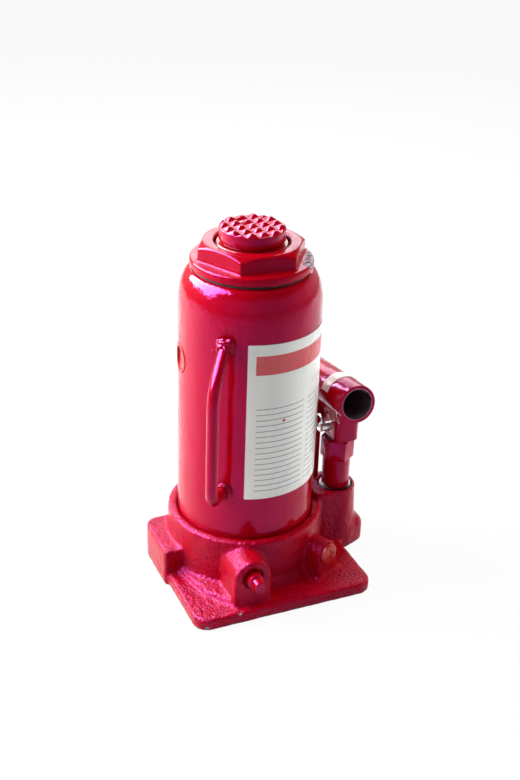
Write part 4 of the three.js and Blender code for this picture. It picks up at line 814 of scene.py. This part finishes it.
def shoulder_point(i, wide, narrow, rise):
    """A point of a quarter of an ellipse, from the wide wall in to the neck."""
    turn = math.pi / 2 * i / STEPS
    return (wide - (wide - narrow) * (1 - math.cos(turn)), shoulder_start + rise * math.sin(turn))


outline = [(BOTTLE_INNER, bottle_low), (BOTTLE_OUTER - FOOT_BEVEL, bottle_low),
           (BOTTLE_OUTER, bottle_low + FOOT_BEVEL)]
for i in range(STEPS + 1):
    outline.append(shoulder_point(i, BOTTLE_OUTER, NECK_OUTER, SHOULDER_RISE))
outline.append(shoulder_point(STEPS, BOTTLE_INNER, NECK_INNER, SHOULDER_RISE))
for i in reversed(range(STEPS)):
    outline.append(shoulder_point(i, BOTTLE_INNER, NECK_INNER, SHOULDER_RISE - BOTTLE_WALL))
print("outline of", len(outline), "points")

# %% Spin the bottle
bpy.ops.mesh.primitive_plane_add(size=0.001)
bottle = bpy.context.object
bottle.name = "bottle"
bpy.ops.object.mode_set(mode="EDIT")
bpy.ops.mesh.select_all(action="SELECT")
bpy.ops.mesh.merge(type="CENTER")
radius, height = outline[0]
bpy.ops.transform.translate(value=at(radius, 0, height))
for next_radius, next_height in outline[1:] + outline[:1]:
    step = at(next_radius - radius, 0, next_height - height)
    bpy.ops.mesh.extrude_region_move(TRANSFORM_OT_translate={"value": step})
    radius, height = next_radius, next_height
bpy.ops.mesh.select_all(action="SELECT")
bpy.ops.mesh.remove_doubles(threshold=1e-6)
bpy.ops.mesh.spin(steps=144, angle=math.tau, center=(0, 0, 0), axis=(0, 0, 1))
bpy.ops.mesh.select_all(action="SELECT")
bpy.ops.mesh.remove_doubles(threshold=1e-6)
bpy.ops.mesh.normals_make_consistent(inside=False)
bpy.ops.object.mode_set(mode="OBJECT")
print("spun bottle", len(bottle.data.polygons), "faces")

# %% The filler hole
PLUG_SIDE = math.radians(174)
PLUG_HOLE = 9.6
CLEARANCE = 3.0  # how far the cutter reaches past the wall on both sides
plug_low, plug_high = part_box("filler_plug")
plug_height = (plug_low + plug_high).z / 2 / MM
through_wall = [at(r * math.cos(PLUG_SIDE), r * math.sin(PLUG_SIDE), plug_height)
                for r in (BOTTLE_INNER - CLEARANCE, BOTTLE_OUTER + CLEARANCE)]
cut(bottle, bore_cutter(PLUG_HOLE, *through_wall))
smooth(bottle, 35)
finished(bottle, body_enamel, "jack_body", "red_enamel", "oil_reservoir")

# %% [markdown]
# ## Weld beads
# The carry handle is welded to the bottle at both ends, and nobody ground the beads. A bead is
# a lumpy collar with drops of spatter on the sheet round it, and its pits are coloured almost
# black. The copy of the plain collar is remeshed finely and pushed about by a small cloud
# pattern. The drops are balls that are pressed flat against the wall and joined to the bead.

# %% Pitted enamel
PIT_BLACK = (0.012, 0.008, 0.010, 1)


def weld_enamel():
    finish = Finish("weld_enamel")
    pits = finish.step(finish.noise(520.0, 4.0), 0.56, 0.63)
    colour = finish.blend(pits, crimson(finish, 200.0, 3.0), PIT_BLACK)
    rough = finish.bump(finish.noise(450.0, 4.0), 0.0006)
    return glossy_paint(finish, colour, 0.15 + pits * 0.3, finish.bump(1 - pits, 0.0006, rough))


pitted_enamel = weld_enamel()
print(pitted_enamel.name)


# %% A drop of spatter
DROP_FLATNESS = 0.55


def spatter_drop(radius, azimuth, height):
    """A low drop of metal on the bottle's wall."""
    angle = math.radians(azimuth)
    out = Vector((math.cos(angle), math.sin(angle), 0))
    bpy.ops.mesh.primitive_uv_sphere_add(segments=12, ring_count=8, radius=radius * MM)
    drop = bpy.context.object
    drop.matrix_world = Matrix.Translation(out * BOTTLE_OUTER * MM + at(0, 0, height)) @ (
        out.to_track_quat("Z", "Y").to_matrix().to_4x4()) @ (
        Matrix.Diagonal((1, 1, DROP_FLATNESS, 1)))
    return drop


# %% Beads
BEAD_CELL = 0.45
BEAD_LUMP = 2.6
BEAD_DEPTH = 2.4
lumps = bpy.data.textures.new("weld_lumps", "CLOUDS")
lumps.noise_scale = BEAD_LUMP * MM


def weld_bead(node, name, drops):
    """A lumpy bead with its spatter. A drop is a radius, an azimuth and a height."""
    bead = own_copy(node, name)
    applied(bead, "REMESH", mode="VOXEL", voxel_size=BEAD_CELL * MM)
    applied(bead, "SMOOTH", factor=0.5, iterations=4)
    applied(bead, "DISPLACE", texture=lumps, texture_coords="LOCAL", strength=BEAD_DEPTH * MM,
            mid_level=0.42)
    made = [spatter_drop(*drop) for drop in drops]
    only(bead)
    for drop in made:
        drop.select_set(True)
    bpy.ops.object.join()
    smooth(bead, 60)
    finished(bead, pitted_enamel, "jack_body", "red_enamel", node)


weld_bead("carry_handle_weld_upper", "upper_weld", (
    (0.9, -142.0, 166.0), (0.6, -120.0, 163.5), (0.7, -146.0, 176.0), (0.5, -117.0, 174.0),
    (0.8, -136.0, 160.5), (0.5, -151.0, 169.0)))
weld_bead("carry_handle_weld_lower", "lower_weld", (
    (1.0, -141.0, 80.5), (0.6, -119.5, 79.0), (0.7, -146.5, 72.0), (0.5, -122.0, 66.0),
    (0.9, -138.0, 65.0), (0.6, -150.0, 78.0)))

# %% [markdown]
# ## The thread below the pump
# The pump cylinder is screwed into its boss, and a few turns of bare thread show in the gap
# round it. A thread is one small triangle carried round the axis and up. Screw is the modifier
# for that: it needs the profile, the pitch and the number of turns.

# %% Bare thread
THREAD_TOOTH = 0.62
THREAD_RADIUS = 9.7
THREAD_START = 41.7
THREAD_PITCH = 1.25
THREAD_TURNS = 3
THREAD_STEPS = 48
bpy.ops.mesh.primitive_circle_add(vertices=3, radius=THREAD_TOOTH * MM, fill_type="NOTHING")
pump_thread = bpy.context.object
pump_thread.name = "pump_thread"
bpy.ops.object.mode_set(mode="EDIT")
bpy.ops.mesh.select_all(action="SELECT")
bpy.ops.transform.rotate(value=math.pi / 2, orient_axis="X", center_override=(0, 0, 0))
bpy.ops.transform.translate(value=at(THREAD_RADIUS, 0, THREAD_START))
bpy.ops.object.mode_set(mode="OBJECT")
applied(pump_thread, "SCREW", axis="Z", screw_offset=THREAD_PITCH * MM,
        iterations=THREAD_TURNS, steps=THREAD_STEPS, render_steps=THREAD_STEPS,
        use_merge_vertices=True)

# %% Move the thread to the pump and close its ends
bpy.ops.object.mode_set(mode="EDIT")
bpy.ops.mesh.select_all(action="SELECT")
bpy.ops.transform.translate(value=at(*PUMP_AXIS, 0))
bpy.ops.mesh.select_all(action="DESELECT")
bpy.ops.mesh.select_mode(type="EDGE")
bpy.ops.mesh.select_non_manifold()
bpy.ops.mesh.fill()
bpy.ops.mesh.select_all(action="SELECT")
bpy.ops.mesh.normals_make_consistent(inside=False)
bpy.ops.object.mode_set(mode="OBJECT")
smooth(pump_thread, 40)
finished(pump_thread, dark_steel, "jack_body", "dark_steel")

# %% [markdown]
# ## A label with round corners
# A die-cut label never has sharp corners, because they would peel. On the copy of the film the
# four short edges that run through it at the corners are found and bevelled into an arc. They
# could be picked by number, but a number changes with every new mesh, and a place doesn't.

# %% Round the corners
def corner_edges(piece, length):
    """Selects the short edges that run through the film at its corners."""
    low = min(v.co.z for v in piece.data.vertices)
    high = max(v.co.z for v in piece.data.vertices)
    sides = [math.atan2(v.co.y, v.co.x) for v in piece.data.vertices]
    first, last = min(sides), max(sides)
    found = 0
    for edge in piece.data.edges:
        a, b = (piece.data.vertices[i].co for i in edge.vertices)
        side = math.atan2(a.y, a.x)
        level = min(abs(a.z - low), abs(a.z - high)) < 1e-5 and abs(a.z - b.z) < 1e-6
        ends = min(abs(side - first), abs(side - last)) < 1e-3
        edge.select = level and ends and (a - b).length < length
        found += edge.select
    return found


CORNER_ROUND = 0.9
THROUGH_FILM = 0.5  # no edge through the film is longer than this
label_sheet = own_copy("tank_label", "label_sheet")
bpy.ops.object.mode_set(mode="EDIT")
bpy.ops.mesh.select_all(action="SELECT")
bpy.ops.mesh.dissolve_limited(angle_limit=math.radians(1))
bpy.ops.mesh.select_all(action="DESELECT")
bpy.ops.mesh.select_mode(type="EDGE")
bpy.ops.object.mode_set(mode="OBJECT")
print(corner_edges(label_sheet, THROUGH_FILM * MM), "corners")
bpy.ops.object.mode_set(mode="EDIT")
bpy.ops.mesh.bevel(offset=CORNER_ROUND * MM, segments=6, affect="EDGES")
bpy.ops.object.mode_set(mode="OBJECT")
smooth(label_sheet, 30)
finished(label_sheet, film, "jack_body", "label_film", "tank_label")

# %% [markdown]
# ## The remaining solids
# The other pieces have the right shape already, so each only gets its finish. On the visible ones
# a live Bevel rounds the edges by a few tenths of a millimetre, because a machined edge always
# catches a thin line of light. Round faces shade smoothly, and an Edge Split keeps the sharp
# corners sharp. The measured mesh itself stays as it was.

# %% Finishes of the other solids
FINISHES = {
    "carry_handle": rod_enamel,
    "pump_cylinder": body_enamel,
    "handle_socket": handle_enamel,
    "link_plate_left": body_enamel,
    "link_plate_right": body_enamel,
    "release_valve_screw": body_enamel,
    "ram": ram_finish,
    "pump_plunger": bright_steel,
    "ram_seal_retainer": bright_steel,
    "screw_stop_ring": bright_steel,
    "plunger_pin": pin_steel,
    "plunger_pin_ring": pin_steel,
    "link_top_pin": pin_steel,
    "link_bottom_pin": pin_steel,
    "release_ball": bright_steel,
    "safety_ball": bright_steel,
    "suction_ball": bright_steel,
    "discharge_ball": bright_steel,
    "safety_spring": bright_steel,
    "discharge_spring": bright_steel,
    "pressure_cylinder": dark_steel,
    "extension_screw": dark_steel,
    "discharge_plug": dark_steel,
    "link_top_clip": dark_steel,
    "link_bottom_clip": dark_steel,
    "cylinder_gasket": copper,
    "pump_washer": copper,
    "reservoir_bottom_gasket": rubber,
    "reservoir_top_gasket": rubber,
    "ram_wiper": rubber,
    "ram_cup_seal": rubber,
    "gland_wiper": rubber,
    "plunger_seal": rubber,
    "release_valve_oring": rubber,
    "ram_backup_ring": white_ring,
    "suction_strainer": strainer,
    "filler_plug": plug_plastic,
    "safety_valve_plug": plug_plastic,
    "socket_label": film,
}
EDGE_ROUND = {
    "handle_socket": 0.5,
    "link_plate_left": 0.4,
    "link_plate_right": 0.4,
    "pump_cylinder": 0.3,
    "release_valve_screw": 0.3,
    "plunger_pin": 0.3,
    "link_top_pin": 0.3,
    "link_bottom_pin": 0.3,
    "safety_valve_plug": 0.25,
    "filler_plug": 0.25,
}

# %% Dress the other solids
for node, material in FINISHES.items():
    solid = frame["nodes"][node]
    only(solid)
    bpy.ops.mesh.customdata_custom_splitnormals_clear()
    bpy.ops.object.shade_smooth()
    solid.data.materials.clear()
    solid.data.materials.append(material)
    weld = solid.modifiers.new("merge", "WELD")
    weld.merge_threshold = 1e-6
    if node in EDGE_ROUND:
        rounding = solid.modifiers.new("edges", "BEVEL")
        rounding.width = EDGE_ROUND[node] * MM
        rounding.segments = 3
        rounding.angle_limit = math.radians(35)
    crisp = solid.modifiers.new("crisp", "EDGE_SPLIT")
    crisp.split_angle = math.radians(32)
print(len(FINISHES), "solids dressed,", len(EDGE_ROUND), "of them with rounded edges")
